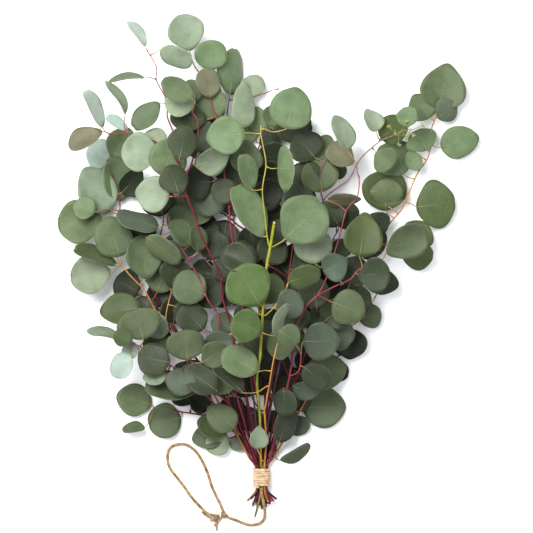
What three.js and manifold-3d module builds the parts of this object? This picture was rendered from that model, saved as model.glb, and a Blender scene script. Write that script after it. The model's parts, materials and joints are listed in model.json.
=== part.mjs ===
// A tied bunch of cut silver-dollar eucalyptus, laid flat on the surface z = 0. Millimetres, +Z up.
// It is laid out from the middle of the tie: +Y runs up the branches, +X to the right of them.
// At the end the whole bunch is moved so that its box stands centred over the origin.
import * as THREE from 'three';
import Module from 'manifold-3d';

const wasm = await Module();
wasm.setup();

// The stems where they are tied: rows of them a spacing apart, spreading to their layers by spreadEnd.
const bundle = {
  x: -1.3, z: 8.7, spacing: 2.5, middleRow: 2, stemRadius: 1.1, endSplay: 1.35, spreadEnd: 75,
};
const wrap = { inner: 6.45, outer: 8.7, bottom: -10.5, top: 10.2, chamfer: 0.8, sides: 20 };

// The pile: a layer's height grows from tieStep to leafStep between two distances from the tie, and
// sinks by droop between two others.
const pile = { floor: 3.6, tieStep: 1.7, leafStep: 10.5, grows: [12, 165], droop: 3, droops: [300, 470] };
const wood = { stemEnd: 0.95, twig: 0.85, twigEnd: 0.6, petiole: 0.55, stemSides: 6, twigSides: 4 };
const leafBlade = { thickness: 0.9, cup: 1.1, clearance: 0.7, stalkGap: 0.5 };
const twine = { diameter: 3.2, sides: 8, cutEnd: 1.5, tip: 1.6, stepsEvery: 7 };
const knotSize = { radii: [4, 3.1, 2.6], middle: [-39.6, -38.3, 2.7], turn: -0.45, segments: [12, 8] };

// How near together the points are that stand for wood when a leaf looks for room.
const sampleStep = 3;

// How far a leaf may be raised or lowered from its branch to lie clear of the others, in order of trial.
const lifts = [0, 2.5, -2.5, 5, -5, 7.5, -7.5, 10, 12.5, 15, -10, 17.5, 20];

// Width of a leaf blade along its length, each as [share of length, share of width].
const bladeOutline = [[0, 0.04], [0.2, 0.82], [0.62, 0.96], [1, 0.2]];

const barkColor = {
  crimson: 0x7a2030, red: 0xa04250, purple: 0x5d3d4a, ochre: 0xb8763a, orange: 0xc9884a, lime: 0xa8ac2e,
};
const leafColor = 0x86a07c;
const juteColor = 0xc3a274;
const roughness = { bark: 0.55, leaf: 0.6, jute: 0.9 };

// The branches, from the surface upwards. level is the layer, slot the place in the tied bundle
// (across, row), cut where the cut end comes out below the tie, and stem its route seen from above.
// A shoot is the leafy wood beyond the stem or beside it: its twigs, then its leaves. Each leaf is
// base x, base y, tip x, tip y, width, roll and pitch in degrees.
const branches = [
  {
    level: 0, slot: [-1, 0], cut: [-11, -29], bark: 'crimson',
    stem: [
      [-12, 22], [-26, 42]],
    shoots: [
      {
        twigs: [
          [[-28, 44.5], [-47, 60], [-65, 63], [-84, 66], [-97, 70], [-110, 68]],
          [[-47, 60], [-50, 70], [-53, 80]],
        ],
        leaves: [
          [-82, 60, -115, 53, 36, 4, 0], [-112, 73, -147, 82, 33, 5, 0], [-118, 50, -141, 46, 20, 56, 0],
          [-72, 74, -92, 92, 24, 8, 0], [-53, 70, -72, 80, 24, 8, 0], [-52, 84, -36, 108, 34, 8, 0],
          [-57, 88, -88, 112, 38, 10, 0], [-40, 58, -22, 78, 28, 8, 0],
        ],
      },
      {
        twigs: [
          [[-28.5, 40.5], [-34, 39], [-40, 38]],
        ],
        leaves: [
          [-38, 45, -71, 37, 26, 8, 0], [-35, 40, -56, 27, 26, 12, 0], [-37, 47, -66, 56, 28, 14, 4],
          [-16, 36, -33, 31, 16, 10, 0],
        ],
      },
    ],
  },
  {
    level: 0, slot: [0, 0], cut: [-1, -31], bark: 'crimson',
    stem: [
      [-1, 30], [2, 90], [-4, 160], [-10, 230]],
    shoots: [
      {
        twigs: [
          [[-10.5, 233], [-13, 262], [-12, 288], [-10, 310], [-4, 332], [4, 348]],
          [[-12, 246], [-24, 252], [-36, 262], [-48, 268]],
        ],
        leaves: [
          [6, 350, 11, 327, 24, 20, 0], [-6, 345, -6, 372, 20, 8, 0], [-8, 338, -28, 354, 34, 10, 0],
          [-14, 306, -44, 318, 36, 10, 0], [-8, 304, 22, 296, 38, 8, 0], [5, 352, 15, 372, 24, 10, 0],
          [-48, 272, -92, 266, 40, 20, 0], [-36, 258, -44, 222, 36, 8, 0], [-28, 262, -32, 298, 34, 6, 0],
          [-50, 262, -70, 236, 34, 8, 0], [10, 346, 48, 354, 30, 8, 0], [-6, 318, 24, 326, 30, 8, 0],
          [-8, 246, 20, 270, 36, 8, 0], [-9, 272, 16, 294, 32, 8, 0], [-14, 252, -6, 220, 30, 8, 0],
        ],
      },
      {
        twigs: [
          [[-2.5, 170], [12, 182], [26, 190], [40, 196]],
        ],
        leaves: [
          [42, 196, 78, 188, 38, 6, 0], [28, 186, 36, 152, 36, 8, 0], [16, 190, 8, 226, 38, 8, 0],
          [-8, 186, -42, 196, 38, 6, 0], [2, 168, 16, 144, 30, 8, 0], [6, 180, -8, 206, 28, 8, 0],
          [-6, 164, -28, 150, 32, 8, 0], [14, 186, 34, 214, 32, 8, 0],
        ],
      },
      {
        twigs: [
          [[3.8, 64], [8, 78], [11, 92]],
        ],
        leaves: [
          [12, 95, 12, 128, 32, 8, 0], [11, 80, 30, 98, 26, 8, 0], [8, 67, 14, 45, 22, 8, 0],
          [4, 84, -10, 104, 26, 8, 0],
        ],
      },
      {
        twigs: [
          [[-2.4, 67], [-7, 73], [-10, 78]],
        ],
        leaves: [
          [-12, 81, -24, 108, 32, 8, 0], [-7, 68, -24, 50, 26, 8, 0], [-6, 66, -4, 42, 20, 8, 0],
        ],
      },
    ],
  },
  {
    level: 0, slot: [1, 0], cut: [4, -27], bark: 'crimson',
    stem: [
      [4, 20], [11, 42]],
    shoots: [
      {
        twigs: [
          [[12.5, 45], [24, 62], [34, 68], [38, 70]],
          [[24, 62], [46, 90], [64, 110], [76, 122]],
        ],
        leaves: [
          [40, 70, 83, 71, 42, 5, 0], [34, 62, 38, 42, 24, 8, 0], [30, 74, 27, 110, 34, 6, 0],
          [79, 122, 86, 146, 30, 10, 0], [66, 109, 86, 104, 22, 10, 0], [52, 104, 44, 134, 34, 6, 0],
          [28, 70, 46, 88, 26, 8, 0],
        ],
      },
      {
        twigs: [
          [[7, 19], [11, 22], [13, 27]],
        ],
        leaves: [
          [16, 35, 29, 72, 26, 24, 0], [17, 17, 46, 35, 24, 56, 0],
        ],
      },
    ],
  },
  {
    level: 1, slot: [-1.5, 1], cut: [-9, -25], bark: 'crimson',
    stem: [
      [-12, 24], [-42, 84], [-82, 140], [-115, 194]],
    shoots: [
      {
        twigs: [
          [[-116.5, 197], [-138, 240], [-143, 262], [-144, 278], [-150, 300], [-156, 318]],
          [[-120, 204], [-112, 222], [-104, 240], [-100, 256]],
        ],
        leaves: [
          [-157, 264, -177, 311, 40, 14, 3], [-143, 277, -151, 321, 34, 24, 0],
          [-142, 285, -121, 308, 28, 30, 0], [-153, 320, -177, 328, 32, 10, 0],
          [-161, 258, -205, 253, 44, 8, 0], [-168, 266, -190, 274, 24, 14, 0],
          [-100, 262, -112, 294, 36, 8, 0], [-96, 252, -66, 262, 34, 8, 0],
          [-110, 236, -138, 252, 36, 8, 0], [-108, 222, -78, 226, 34, 8, 0],
          [-151, 321, -134, 350, 30, 8, 0],
        ],
      },
      {
        twigs: [
          [[-86, 143], [-98, 160], [-112, 176], [-124, 184]],
        ],
        leaves: [
          [-124, 186, -148, 198, 34, 10, 0], [-122, 178, -150, 182, 26, 12, 0],
          [-106, 186, -98, 214, 36, 8, 0], [-98, 158, -116, 138, 34, 8, 0],
          [-106, 172, -130, 164, 30, 8, 0], [-90, 154, -84, 184, 32, 8, 0],
          [-110, 171, -100, 196, 26, 10, -5],
        ],
      },
    ],
  },
  {
    level: 1, slot: [1.5, 1], cut: [11, -24], bark: 'ochre',
    stem: [
      [12, 22], [46, 84], [77, 150], [103, 206]],
    shoots: [
      {
        twigs: [
          [[104.5, 209], [119, 240], [125, 252], [139, 269], [147, 287], [155, 305], [165, 320],
           [169, 336], [169, 349], [173, 360]],
          [[116, 234], [134, 232], [146, 230]],
        ],
        leaves: [
          [154, 271, 192, 276, 49, 5, 0], [141, 304, 122, 334, 40, 8, 3], [123, 267, 121, 309, 47, 5, 2],
          [178, 331, 217, 342, 33, 4, 0], [108, 287, 140, 284, 28, 8, 0], [176, 369, 186, 415, 46, 4, 3],
          [167, 360, 151, 384, 34, 14, 0], [175, 361, 193, 374, 26, 20, 0], [164, 328, 154, 348, 34, 12, 0],
          [148, 234, 164, 255, 34, 10, 0], [140, 224, 170, 222, 32, 8, 0], [120, 226, 96, 244, 34, 8, 0],
          [119, 242, 108, 264, 30, 8, 0], [158, 322, 143, 312, 22, 10, 0],
        ],
      },
      {
        twigs: [
          [[79.5, 150], [92, 154], [104, 166], [112, 180]],
        ],
        leaves: [
          [97, 158, 118, 166, 27, 8, 0], [114, 184, 122, 208, 36, 8, 0], [90, 149, 86, 118, 34, 8, 0],
          [100, 170, 76, 190, 34, 8, 0],
        ],
      },
    ],
  },
  {
    level: 2, slot: [-0.5, 1], cut: [-5, -30], bark: 'purple',
    stem: [
      [-6, 50], [-16, 130], [-24, 200], [-27, 235]],
    shoots: [
      {
        twigs: [
          [[-27.3, 238], [-30, 270], [-34, 325], [-36, 346], [-36, 363], [-34, 378]],
          [[-30, 272], [-40, 288], [-50, 300], [-54, 312]],
        ],
        leaves: [
          [-33, 384, -27, 429, 38, 44, 0], [-20, 350, -17, 397, 28, 30, 0], [-8, 381, -12, 404, 26, 10, 0],
          [-44, 360, -45, 406, 30, 62, 0], [-40, 340, -66, 352, 34, 8, 0], [-54, 316, -64, 350, 38, 8, 0],
          [-50, 296, -80, 296, 38, 8, 0], [-42, 362, -64, 386, 34, 8, 0], [-40, 292, -24, 322, 36, 8, 0],
          [-46, 290, -62, 264, 32, 8, 0],
        ],
      },
      {
        twigs: [
          [[-26, 190], [-38, 200], [-52, 212], [-62, 224]],
        ],
        leaves: [
          [-66, 228, -97, 240, 30, 10, 0], [-54, 218, -48, 248, 34, 8, 0], [-40, 196, -66, 176, 34, 8, 0],
          [-30, 206, -14, 234, 34, 8, 0], [-44, 202, -72, 208, 26, 10, -4], [-33, 200, -47, 216, 20, 8, -5],
          [-36, 195, -44, 170, 26, 8, -3],
        ],
      },
    ],
  },
  {
    level: 2, slot: [0.5, 1], cut: [3, -30], bark: 'crimson',
    stem: [
      [3, 24], [12, 55], [24, 82]],
    shoots: [
      {
        twigs: [
          [[25.5, 85], [33, 98], [38, 112], [42, 124], [48, 138], [58, 148]],
          [[32, 97], [24, 106], [20, 118]],
        ],
        leaves: [
          [38, 156, 74, 162, 28, 12, 0], [44, 101, 84, 112, 37, 5, 2], [64, 152, 84, 130, 30, 8, 0],
          [60, 156, 86, 176, 32, 8, 0], [26, 124, 32, 153, 27, 5, 2], [18, 124, -4, 138, 30, 8, 0],
          [20, 90, 24, 62, 26, 20, 0], [30, 92, 54, 82, 22, 35, 0],
        ],
      },
    ],
  },
  {
    level: 3, slot: [-2, 2], cut: [-16, -24], bark: 'ochre',
    stem: [
      [-14, 20], [-32, 54], [-60, 100], [-86, 137]],
    shoots: [
      {
        twigs: [
          [[-88, 140], [-108, 169], [-118, 187], [-133, 203], [-142, 214]],
          [[-108, 169], [-114, 167], [-119, 168]],
          [[-94, 149], [-97, 162], [-92, 184]],
        ],
        leaves: [
          [-147, 213, -187, 230, 32, 62, 0], [-152, 205, -192, 200, 38, 6, 0],
          [-143, 221, -156, 262, 39, 8, 2], [-117, 199, -121, 242, 38, 10, 0],
          [-122, 170, -163, 167, 33, 20, 0], [-118, 160, -98, 142, 30, 30, 0],
          [-92, 190, -84, 218, 34, 12, 0], [-88, 172, -68, 160, 28, 10, 0],
          [-100, 150, -110, 122, 30, 10, 0],
        ],
      },
    ],
  },
  {
    level: 3, slot: [1, 2], cut: [7, -27], bark: 'purple',
    stem: [
      [6, 60], [20, 130], [38, 205]],
    shoots: [
      {
        twigs: [
          [[38.7, 208], [52, 252], [60, 277], [74, 290], [86, 299], [98, 320], [117, 337]],
          [[60, 277], [56, 294], [58, 308], [64, 320]],
        ],
        leaves: [
          [117, 340, 144, 358, 31, 12, 0], [113, 346, 104, 369, 28, 46, 0], [154, 358, 133, 364, 24, 30, 0],
          [90, 314, 64, 329, 32, 36, 0], [113, 326, 130, 312, 28, 8, 0], [60, 286, 50, 322, 38, 12, 0],
          [72, 324, 48, 332, 32, 14, 0], [66, 302, 80, 316, 24, 8, 0], [52, 320, 32, 344, 36, 8, 0],
          [50, 268, 22, 288, 34, 8, 0], [53, 294, 30, 312, 32, 8, 0],
        ],
      },
      {
        twigs: [
          [[40.5, 202], [54, 218], [66, 232], [74, 246]],
        ],
        leaves: [
          [68, 262, 96, 264, 30, 8, 0], [72, 238, 84, 222, 24, 10, 0], [58, 232, 38, 248, 34, 8, 0],
          [76, 252, 60, 276, 32, 8, 0], [48, 212, 20, 224, 36, 8, 0],
        ],
      },
    ],
  },
  {
    level: 3, slot: [2, 2], cut: [14, -22], bark: 'purple',
    stem: [
      [7.5, 18], [20, 60], [42, 100], [56, 136]],
    shoots: [
      {
        twigs: [
          [[57.2, 139], [66, 158], [76, 172], [84, 188]],
          [[66, 158], [56, 166], [48, 170]],
        ],
        leaves: [
          [86, 192, 96, 222, 34, 8, 0], [46, 172, 18, 184, 34, 8, 0], [62, 146, 92, 142, 32, 8, 0],
          [79, 176, 108, 180, 32, 8, 0], [54, 170, 48, 200, 32, 8, 0],
        ],
      },
    ],
  },
  {
    level: 4, slot: [-1, 2], cut: [-8, -26], bark: 'red',
    stem: [
      [-8, 18], [-20, 60], [-32, 102], [-43, 140]],
    shoots: [
      {
        twigs: [
          [[-43.5, 143], [-45, 163], [-55, 178], [-62, 196], [-70, 211], [-80, 228], [-91, 246],
           [-94, 262]],
          [[-43.8, 145], [-50, 147], [-57, 146]],
          [[-43.8, 145], [-36, 143], [-30, 142]],
        ],
        leaves: [
          [-104, 250, -147, 263, 34, 50, 0], [-57, 183, -89, 198, 36, 8, 0],
          [-65, 226, -66, 253, 28, 50, 0], [-72, 232, -90, 258, 28, 36, 0],
          [-116, 241, -82, 216, 32, 42, 0], [-59, 148, -82, 172, 33, 14, 0],
          [-28, 138, -58, 130, 28, 10, 0], [-30, 148, -50, 160, 26, 8, 0], [-24, 136, -4, 116, 28, 8, 0],
        ],
      },
    ],
  },
  {
    level: 4, slot: [0, 2], cut: [-3, -28], bark: 'red',
    stem: [
      [-3, 60], [-14, 130], [-24, 195], [-31, 240]],
    shoots: [
      {
        twigs: [
          [[-31.3, 243], [-34, 270], [-38, 300], [-41, 330], [-45, 355], [-51, 371], [-56, 394],
           [-68, 411], [-72, 422]],
          [[-34, 270], [-24, 284], [-20, 300]],
        ],
        leaves: [
          [-73, 427, -81, 463, 37, 5, 3], [-52, 407, -52, 438, 34, 8, 4], [-52, 380, -58, 410, 28, 26, 0],
          [-46, 340, -72, 340, 34, 8, 0], [-60, 392, -78, 384, 22, 10, 0], [-18, 304, -16, 338, 32, 10, 0],
          [-24, 278, -4, 262, 30, 10, 0], [-26, 292, -50, 282, 26, 8, 0], [-56, 358, -92, 361, 30, 10, 0],
          [-44, 322, -68, 312, 30, 8, 0],
        ],
      },
    ],
  },
  {
    level: 4, slot: [0.5, 3], cut: [0.3, -20], bark: 'crimson',
    stem: [
      [0.4, 20], [2.5, 60], [9, 100], [14, 142]],
    shoots: [
      {
        twigs: [
          [[14.5, 145], [20, 172], [25, 200], [29, 226], [34, 256]],
          [[25, 200], [14, 208], [6, 212]],
        ],
        leaves: [
          [36, 260, 34, 296, 34, 8, 0], [4, 214, 16, 244, 32, 8, 0], [29, 208, 56, 222, 32, 8, 0],
          [27, 239, 8, 256, 30, 8, 0], [18, 166, 44, 156, 30, 8, 0], [23, 186, -4, 192, 30, 8, 0],
          [13, 138, -12, 150, 30, 8, 0],
        ],
      },
    ],
  },
  {
    level: 5, slot: [-1.5, 3], cut: [-13, -22], bark: 'crimson',
    stem: [
      [-8, 14], [-20, 44]],
    shoots: [
      {
        twigs: [
          [[-21.3, 46.5], [-33, 73], [-63, 97], [-74, 105], [-92, 113], [-117, 129], [-127, 134],
           [-138, 138]],
          [[-92, 113], [-94, 109], [-96, 106]],
          [[-74, 105], [-75, 111], [-75, 116]],
          [[-33, 73], [-35, 80], [-34, 84]],
        ],
        leaves: [
          [-119, 139, -127, 168, 45, 6, 3], [-142, 139, -175, 149, 26, 68, 0],
          [-134, 126, -147, 100, 25, 20, -3], [-130, 137, -148, 144, 20, 16, 0],
          [-123, 129, -141, 127, 18, 10, -6], [-92, 116, -125, 122, 34, 8, -3],
          [-96, 104, -120, 101, 22, 24, 0], [-75, 118, -78, 149, 40, 6, 3], [-60, 116, -36, 132, 28, 10, 0],
          [-34, 85, -46, 110, 30, 10, 0],
        ],
      },
      {
        twigs: [
          [[-22.5, 43.5], [-36, 62], [-49, 75], [-59, 85]],
        ],
        leaves: [
          [-69, 86, -117, 92, 34, 30, 0], [-66, 92, -96, 102, 28, 12, 0], [-46, 88, -80, 112, 30, 10, 0],
          [-28, 50, -55, 72, 29, 12, 0],
        ],
      },
    ],
  },
  {
    level: 5, slot: [1.5, 3], cut: [8, -25], bark: 'red',
    stem: [
      [6, 16], [16, 60], [26, 100], [33, 150]],
    shoots: [
      {
        twigs: [
          [[33.6, 153], [43, 172], [54, 183], [63, 200], [70, 222], [76, 241], [83, 267], [94, 282],
           [96, 300]],
          [[54, 183], [72, 192], [87, 199], [96, 209], [114, 214]],
          [[54, 183], [61, 180], [66, 177]],
        ],
        leaves: [
          [52, 214, 48, 249, 40, 8, 2], [84, 327, 74, 363, 29, 44, 3], [64, 277, 98, 276, 28, 58, 0],
          [96, 221, 103, 265, 39, 8, 2], [60, 206, 84, 218, 30, 8, 0], [95, 203, 126, 204, 36, 8, 0],
          [123, 225, 162, 248, 36, 16, 0], [69, 176, 102, 165, 36, 6, 2],
        ],
      },
      {
        twigs: [
          [[29, 103], [36, 108], [38, 124]],
        ],
        leaves: [
          [40, 137, 77, 137, 38, 4, 2], [32, 134, 4, 134, 32, 8, 0], [40, 112, 66, 92, 28, 10, 0],
        ],
      },
    ],
  },
  {
    level: 6, slot: [-0.5, 3], cut: [-6, -29], bark: 'crimson',
    stem: [
      [-4, 20], [-14, 70], [-26, 125], [-34, 161], [-39.5, 178], [-44, 207], [-59.5, 238], [-67.5, 261],
      [-76, 282]],
    shoots: [
      {
        twigs: [
          [[-76.8, 285], [-77, 301], [-82, 311], [-89, 324], [-88, 341], [-95, 360], [-96, 377],
           [-106, 397], [-106, 410], [-115, 426]],
          [[-77, 301], [-70, 317], [-65, 340], [-65, 356], [-70, 364]],
          [[-89, 324], [-100, 332], [-128, 343.5], [-152, 343]],
        ],
        leaves: [
          [-117, 431, -134, 456, 24, 64, 5], [-103, 427, -70, 414, 30, 42, 0],
          [-118, 399, -153, 398, 24, 72, 0], [-103, 374, -128, 350, 24, 20, 0],
          [-104, 322, -140, 327, 39, 6, 3], [-99, 301, -88, 340, 39, 8, 0], [-70, 368, -97, 384, 34, 16, 0],
          [-70, 378, -99, 397, 26, 18, 3], [-66, 311, -31, 328, 34, 40, 0],
          [-137, 363, -153, 398, 24, 70, 3], [-160, 350, -176, 386, 32, 64, 3],
          [-160, 346, -192, 329, 26, 34, 0], [-135, 347, -155, 361, 20, 55, 0],
          [-95, 337, -122, 338, 24, 12, -4], [-83, 318, -76, 350, 30, 12, -6],
        ],
      },
      {
        twigs: [
          [[-78.6, 281.5], [-84, 281], [-90, 281]],
        ],
        leaves: [
          [-93, 281, -127, 286, 37, 6, 3], [-84, 284, -92, 312, 30, 12, -4],
        ],
      },
    ],
  },
  {
    level: 7, slot: [0, 4], cut: [-8, -39], bark: 'lime',
    stem: [
      [-2, 14], [-3, 60], [-6, 98], [-3, 122], [-0.5, 160], [3, 207], [7, 230], [11, 254]],
    shoots: [
      {
        twigs: [
          [[5.5, 233], [2, 260], [-0.5, 288], [3, 312], [0.5, 329], [-2, 342], [-2, 352]],
        ],
        leaves: [
          [-18, 344, -56, 339, 38, 6, 2], [-12, 288, -19, 322, 32, 52, 0], [0, 241, -26, 290, 34, 30, 0],
          [14, 309, 30, 308, 46, 6, 46], [23, 348, 34, 390, 43, 6, 2],
        ],
      },
      {
        twigs: [
          [[9.5, 231], [15, 234], [20, 237]],
        ],
        leaves: [
          [22, 239, 57, 274, 51, 4, 3],
        ],
      },
      {
        twigs: [
          [[-4.5, 164], [-5, 168], [-5, 171]],
        ],
        leaves: [
          [-3, 173, -25, 210, 47, 5, 3], [-8, 212, -40, 226, 30, 12, -8],
        ],
      },
      {
        twigs: [
          [[2.4, 163], [10, 170], [20, 183], [24, 192]],
        ],
        leaves: [
          [25, 196, 57, 207, 30, 36, 0], [14, 168, 38, 180, 30, 8, -4],
        ],
      },
    ],
  },
  {
    level: 8, slot: [1, 4], cut: [5, -24], bark: 'orange',
    stem: [
      [1.5, 14], [3, 38], [1.5, 66]],
    shoots: [
      {
        twigs: [
          [[1.6, 69], [7, 98], [9.5, 114], [13, 130], [16, 142]],
        ],
        leaves: [
          [-5, 107, -41, 127, 32, 12, 2], [-1, 146, -31, 158, 34, 6, 3], [12, 143, 25, 174, 26, 60, 0],
          [-20, 86, -47, 113, 28, 62, 0], [16, 148, 36, 136, 26, 10, -6],
        ],
      },
      {
        twigs: [
          [[-1, 17], [-3, 23], [-5, 27]],
        ],
        leaves: [
          [-6, 29, -3, 52, 20, 20, 3],
        ],
      },
    ],
  },
];

const smooth = (value, from, to) => THREE.MathUtils.smoothstep(value, from, to);
const lerp = THREE.MathUtils.lerp;
const upright = new THREE.Vector3(0, 0, 1);

// Height of a layer of branches above the surface: tight at the tie, open at the leaves.
function layerHeight(level, x, y) {
  const reach = Math.hypot(x, y);
  const step = lerp(pile.tieStep, pile.leafStep, smooth(reach, ...pile.grows))
    - pile.droop * smooth(reach, ...pile.droops);
  return pile.floor + level * step;
}

function onLayer(level, [x, y]) {
  return new THREE.Vector3(x, y, layerHeight(level, x, y));
}

// Closed solid through rings of points, all with the same count, ordered anticlockwise seen from the end.
function loft(rings) {
  const sides = rings[0].length;
  const position = rings.flat().flatMap((point) => point.toArray());
  const index = [];
  for (let r = 0; r + 1 < rings.length; r += 1) {
    for (let s = 0; s < sides; s += 1) {
      const here = r * sides + s;
      const beside = r * sides + (s + 1) % sides;
      index.push(here, beside, here + sides, beside, beside + sides, here + sides);
    }
  }
  const last = (rings.length - 1) * sides;
  for (let s = 1; s + 1 < sides; s += 1) {
    index.push(0, s + 1, s, last, last + s, last + s + 1);
  }
  const geometry = new THREE.BufferGeometry();
  geometry.setAttribute('position', new THREE.Float32BufferAttribute(position, 3));
  geometry.setIndex(index);
  return geometry;
}

// Two unit vectors square to a direction: one level, one as near upright as it can be.
function crossways(direction) {
  const side = new THREE.Vector3().crossVectors(direction, upright).normalize();
  return [side, new THREE.Vector3().crossVectors(side, direction).normalize()];
}

// Tapered round rod along points.
function rod(points, startRadius, endRadius, sides) {
  const rings = points.map((point, i) => {
    const ahead = points[Math.min(i + 1, points.length - 1)];
    const behind = points[Math.max(i - 1, 0)];
    const [side, up] = crossways(new THREE.Vector3().subVectors(ahead, behind).normalize());
    const radius = lerp(startRadius, endRadius, i / (points.length - 1));
    return Array.from({ length: sides }, (_, s) => {
      const turn = -2 * Math.PI * s / sides;
      return point.clone().addScaledVector(side, radius * Math.cos(turn))
        .addScaledVector(up, radius * Math.sin(turn));
    });
  });
  return loft(rings);
}

function solid(geometry) {
  return new wasm.Manifold(new wasm.Mesh({
    numProp: 3,
    vertProperties: new Float32Array(geometry.getAttribute('position').array),
    triVerts: new Uint32Array(geometry.getIndex().array),
  }));
}

function geometryOf(body) {
  const mesh = body.getMesh();
  const geometry = new THREE.BufferGeometry();
  geometry.setAttribute('position', new THREE.BufferAttribute(new Float32Array(mesh.vertProperties), 3));
  geometry.setIndex(new THREE.BufferAttribute(new Uint32Array(mesh.triVerts), 1));
  return geometry;
}

const bunch = new THREE.Group();

function addPart(name, geometry, color, finish) {
  const material = new THREE.MeshStandardMaterial({ color, roughness: roughness[finish], metalness: 0 });
  const mesh = new THREE.Mesh(geometry, material);
  mesh.name = name;
  bunch.add(mesh);
}

// Route of a woody stem: the cut end, straight through the tie, then out to its layer.
function stemRoute({ level, slot, cut, stem }) {
  const x = bundle.x + slot[0] * bundle.spacing;
  const z = bundle.z + (slot[1] - bundle.middleRow) * bundle.spacing * Math.sqrt(0.75);
  const endZ = bundle.z + (z - bundle.z) * bundle.endSplay;
  const route = [
    new THREE.Vector3(cut[0], cut[1], endZ),
    new THREE.Vector3(x, wrap.bottom - 1, z),
    new THREE.Vector3(x, wrap.top + 1, z),
  ];
  for (const point of stem) {
    const outward = smooth(point[1], wrap.top, bundle.spreadEnd);
    route.push(new THREE.Vector3(point[0], point[1], lerp(z, layerHeight(level, ...point), outward)));
  }
  return route;
}

// Points every few millimetres along a route, for finding what lies in a leaf's way.
function samplesAlong(points, radius, owner) {
  const samples = [];
  for (let i = 0; i + 1 < points.length; i += 1) {
    const steps = Math.max(1, Math.ceil(points[i].distanceTo(points[i + 1]) / sampleStep));
    for (let s = 0; s <= steps; s += 1) {
      samples.push({ point: points[i].clone().lerp(points[i + 1], s / steps), radius, owner });
    }
  }
  return samples;
}

// The nearest point to a leaf's base on the twigs of its shoot.
function nearestOnTwigs(twigs, base) {
  let best = null;
  for (const points of twigs) {
    for (let i = 0; i + 1 < points.length; i += 1) {
      const line = new THREE.Line3(points[i], points[i + 1]);
      const point = line.closestPointToPoint(base, true, new THREE.Vector3());
      if (!best || point.distanceTo(base) < best.distanceTo(base)) best = point;
    }
  }
  return best;
}

// A leaf blade in space: its base, the directions along and across it, and its true length.
function placeBlade([baseX, baseY, tipX, tipY, width, roll, pitch], level, lift) {
  const base = onLayer(level, [baseX, baseY]);
  base.z += lift;
  const flat = new THREE.Vector3(tipX - baseX, tipY - baseY, 0);
  const rise = THREE.MathUtils.degToRad(pitch);
  const length = flat.length() / Math.cos(rise);
  const along = flat.normalize().multiplyScalar(Math.cos(rise)).setZ(Math.sin(rise));
  const across = crossways(along)[0].applyAxisAngle(along, THREE.MathUtils.degToRad(roll));
  const normal = new THREE.Vector3().crossVectors(across, along);
  return { base, along, across, normal, length, width };
}

function bladePoint({ base, along, across, normal, length, width }, share, sideways, raised) {
  return base.clone().addScaledVector(along, share * length).addScaledVector(across, sideways * width / 2)
    .addScaledVector(normal, raised);
}

// A leaf with its petiole as one thin keel-shaped solid, rooted inside the twig.
function leafSolid(blade, root) {
  const [side, up] = crossways(new THREE.Vector3().subVectors(blade.base, root).normalize());
  const stalk = wood.petiole;
  const rings = [[
    root.clone().addScaledVector(side, stalk), root.clone().addScaledVector(up, -stalk),
    root.clone().addScaledVector(side, -stalk), root.clone().addScaledVector(up, stalk),
  ]];
  for (const [share, width] of bladeOutline) {
    const edge = leafBlade.cup * width;
    const half = share === 0 ? stalk : leafBlade.thickness / 2;
    rings.push([
      bladePoint(blade, share, Math.max(width, 2 * stalk / blade.width), share === 0 ? 0 : edge),
      bladePoint(blade, share, 0, -half),
      bladePoint(blade, share, -Math.max(width, 2 * stalk / blade.width), share === 0 ? 0 : edge),
      bladePoint(blade, share, 0, half),
    ]);
  }
  return solid(loft(rings));
}

// Where a plumb line at (x, y) meets a blade: its height there, or null outside the blade. The blade is
// taken as an ellipse with a margin, and one on its edge is left out.
function heightInBlade(blade, x, y, margin) {
  const { along, across, normal, length, width } = blade;
  const onEdge = 0.05;
  const rim = 1.1;
  if (Math.abs(normal.z) < onEdge) return null;
  const centre = bladePoint(blade, 0.5, 0, 0);
  const z = centre.z - (normal.x * (x - centre.x) + normal.y * (y - centre.y)) / normal.z;
  const offset = new THREE.Vector3(x, y, z).sub(centre);
  const u = offset.dot(along) / (length / 2 + margin);
  const v = offset.dot(across) / (width / 2 + margin);
  return u * u + v * v < rim ? z : null;
}

// Points on a blade, as [share of length, share of half width], in rings from its middle to its rim.
const bladeGrid = [];
const gridTurns = 12;
for (const ring of [0, 0.5, 0.8, 1]) {
  for (let turn = 0; turn < gridTurns; turn += 1) {
    const angle = 2 * Math.PI * turn / gridTurns;
    bladeGrid.push([0.5 + 0.5 * ring * Math.cos(angle), ring * Math.sin(angle)]);
  }
}

// The least clearance between two blades where one lies over the other; 0 or less if they cross.
function clearanceOfBlades(one, other) {
  const level = Math.min(Math.abs(one.normal.z), Math.abs(other.normal.z));
  let lowest = Infinity;
  let highest = -Infinity;
  for (const [first, second, sign] of [[one, other, 1], [other, one, -1]]) {
    for (const [share, sideways] of bladeGrid) {
      const point = bladePoint(first, share, sideways, leafBlade.cup * sideways * sideways);
      const height = heightInBlade(second, point.x, point.y, 1);
      if (height !== null) {
        lowest = Math.min(lowest, sign * (point.z - height));
        highest = Math.max(highest, sign * (point.z - height));
      }
    }
  }
  if (lowest === Infinity) return Infinity;
  return level * Math.max(lowest, -highest) - leafBlade.cup;
}

function clearanceOfSample(blade, sample) {
  const height = heightInBlade(blade, sample.point.x, sample.point.y, sample.radius);
  if (height === null) return Infinity;
  return Math.abs(blade.normal.z * (sample.point.z - height)) - sample.radius - leafBlade.cup;
}

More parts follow.
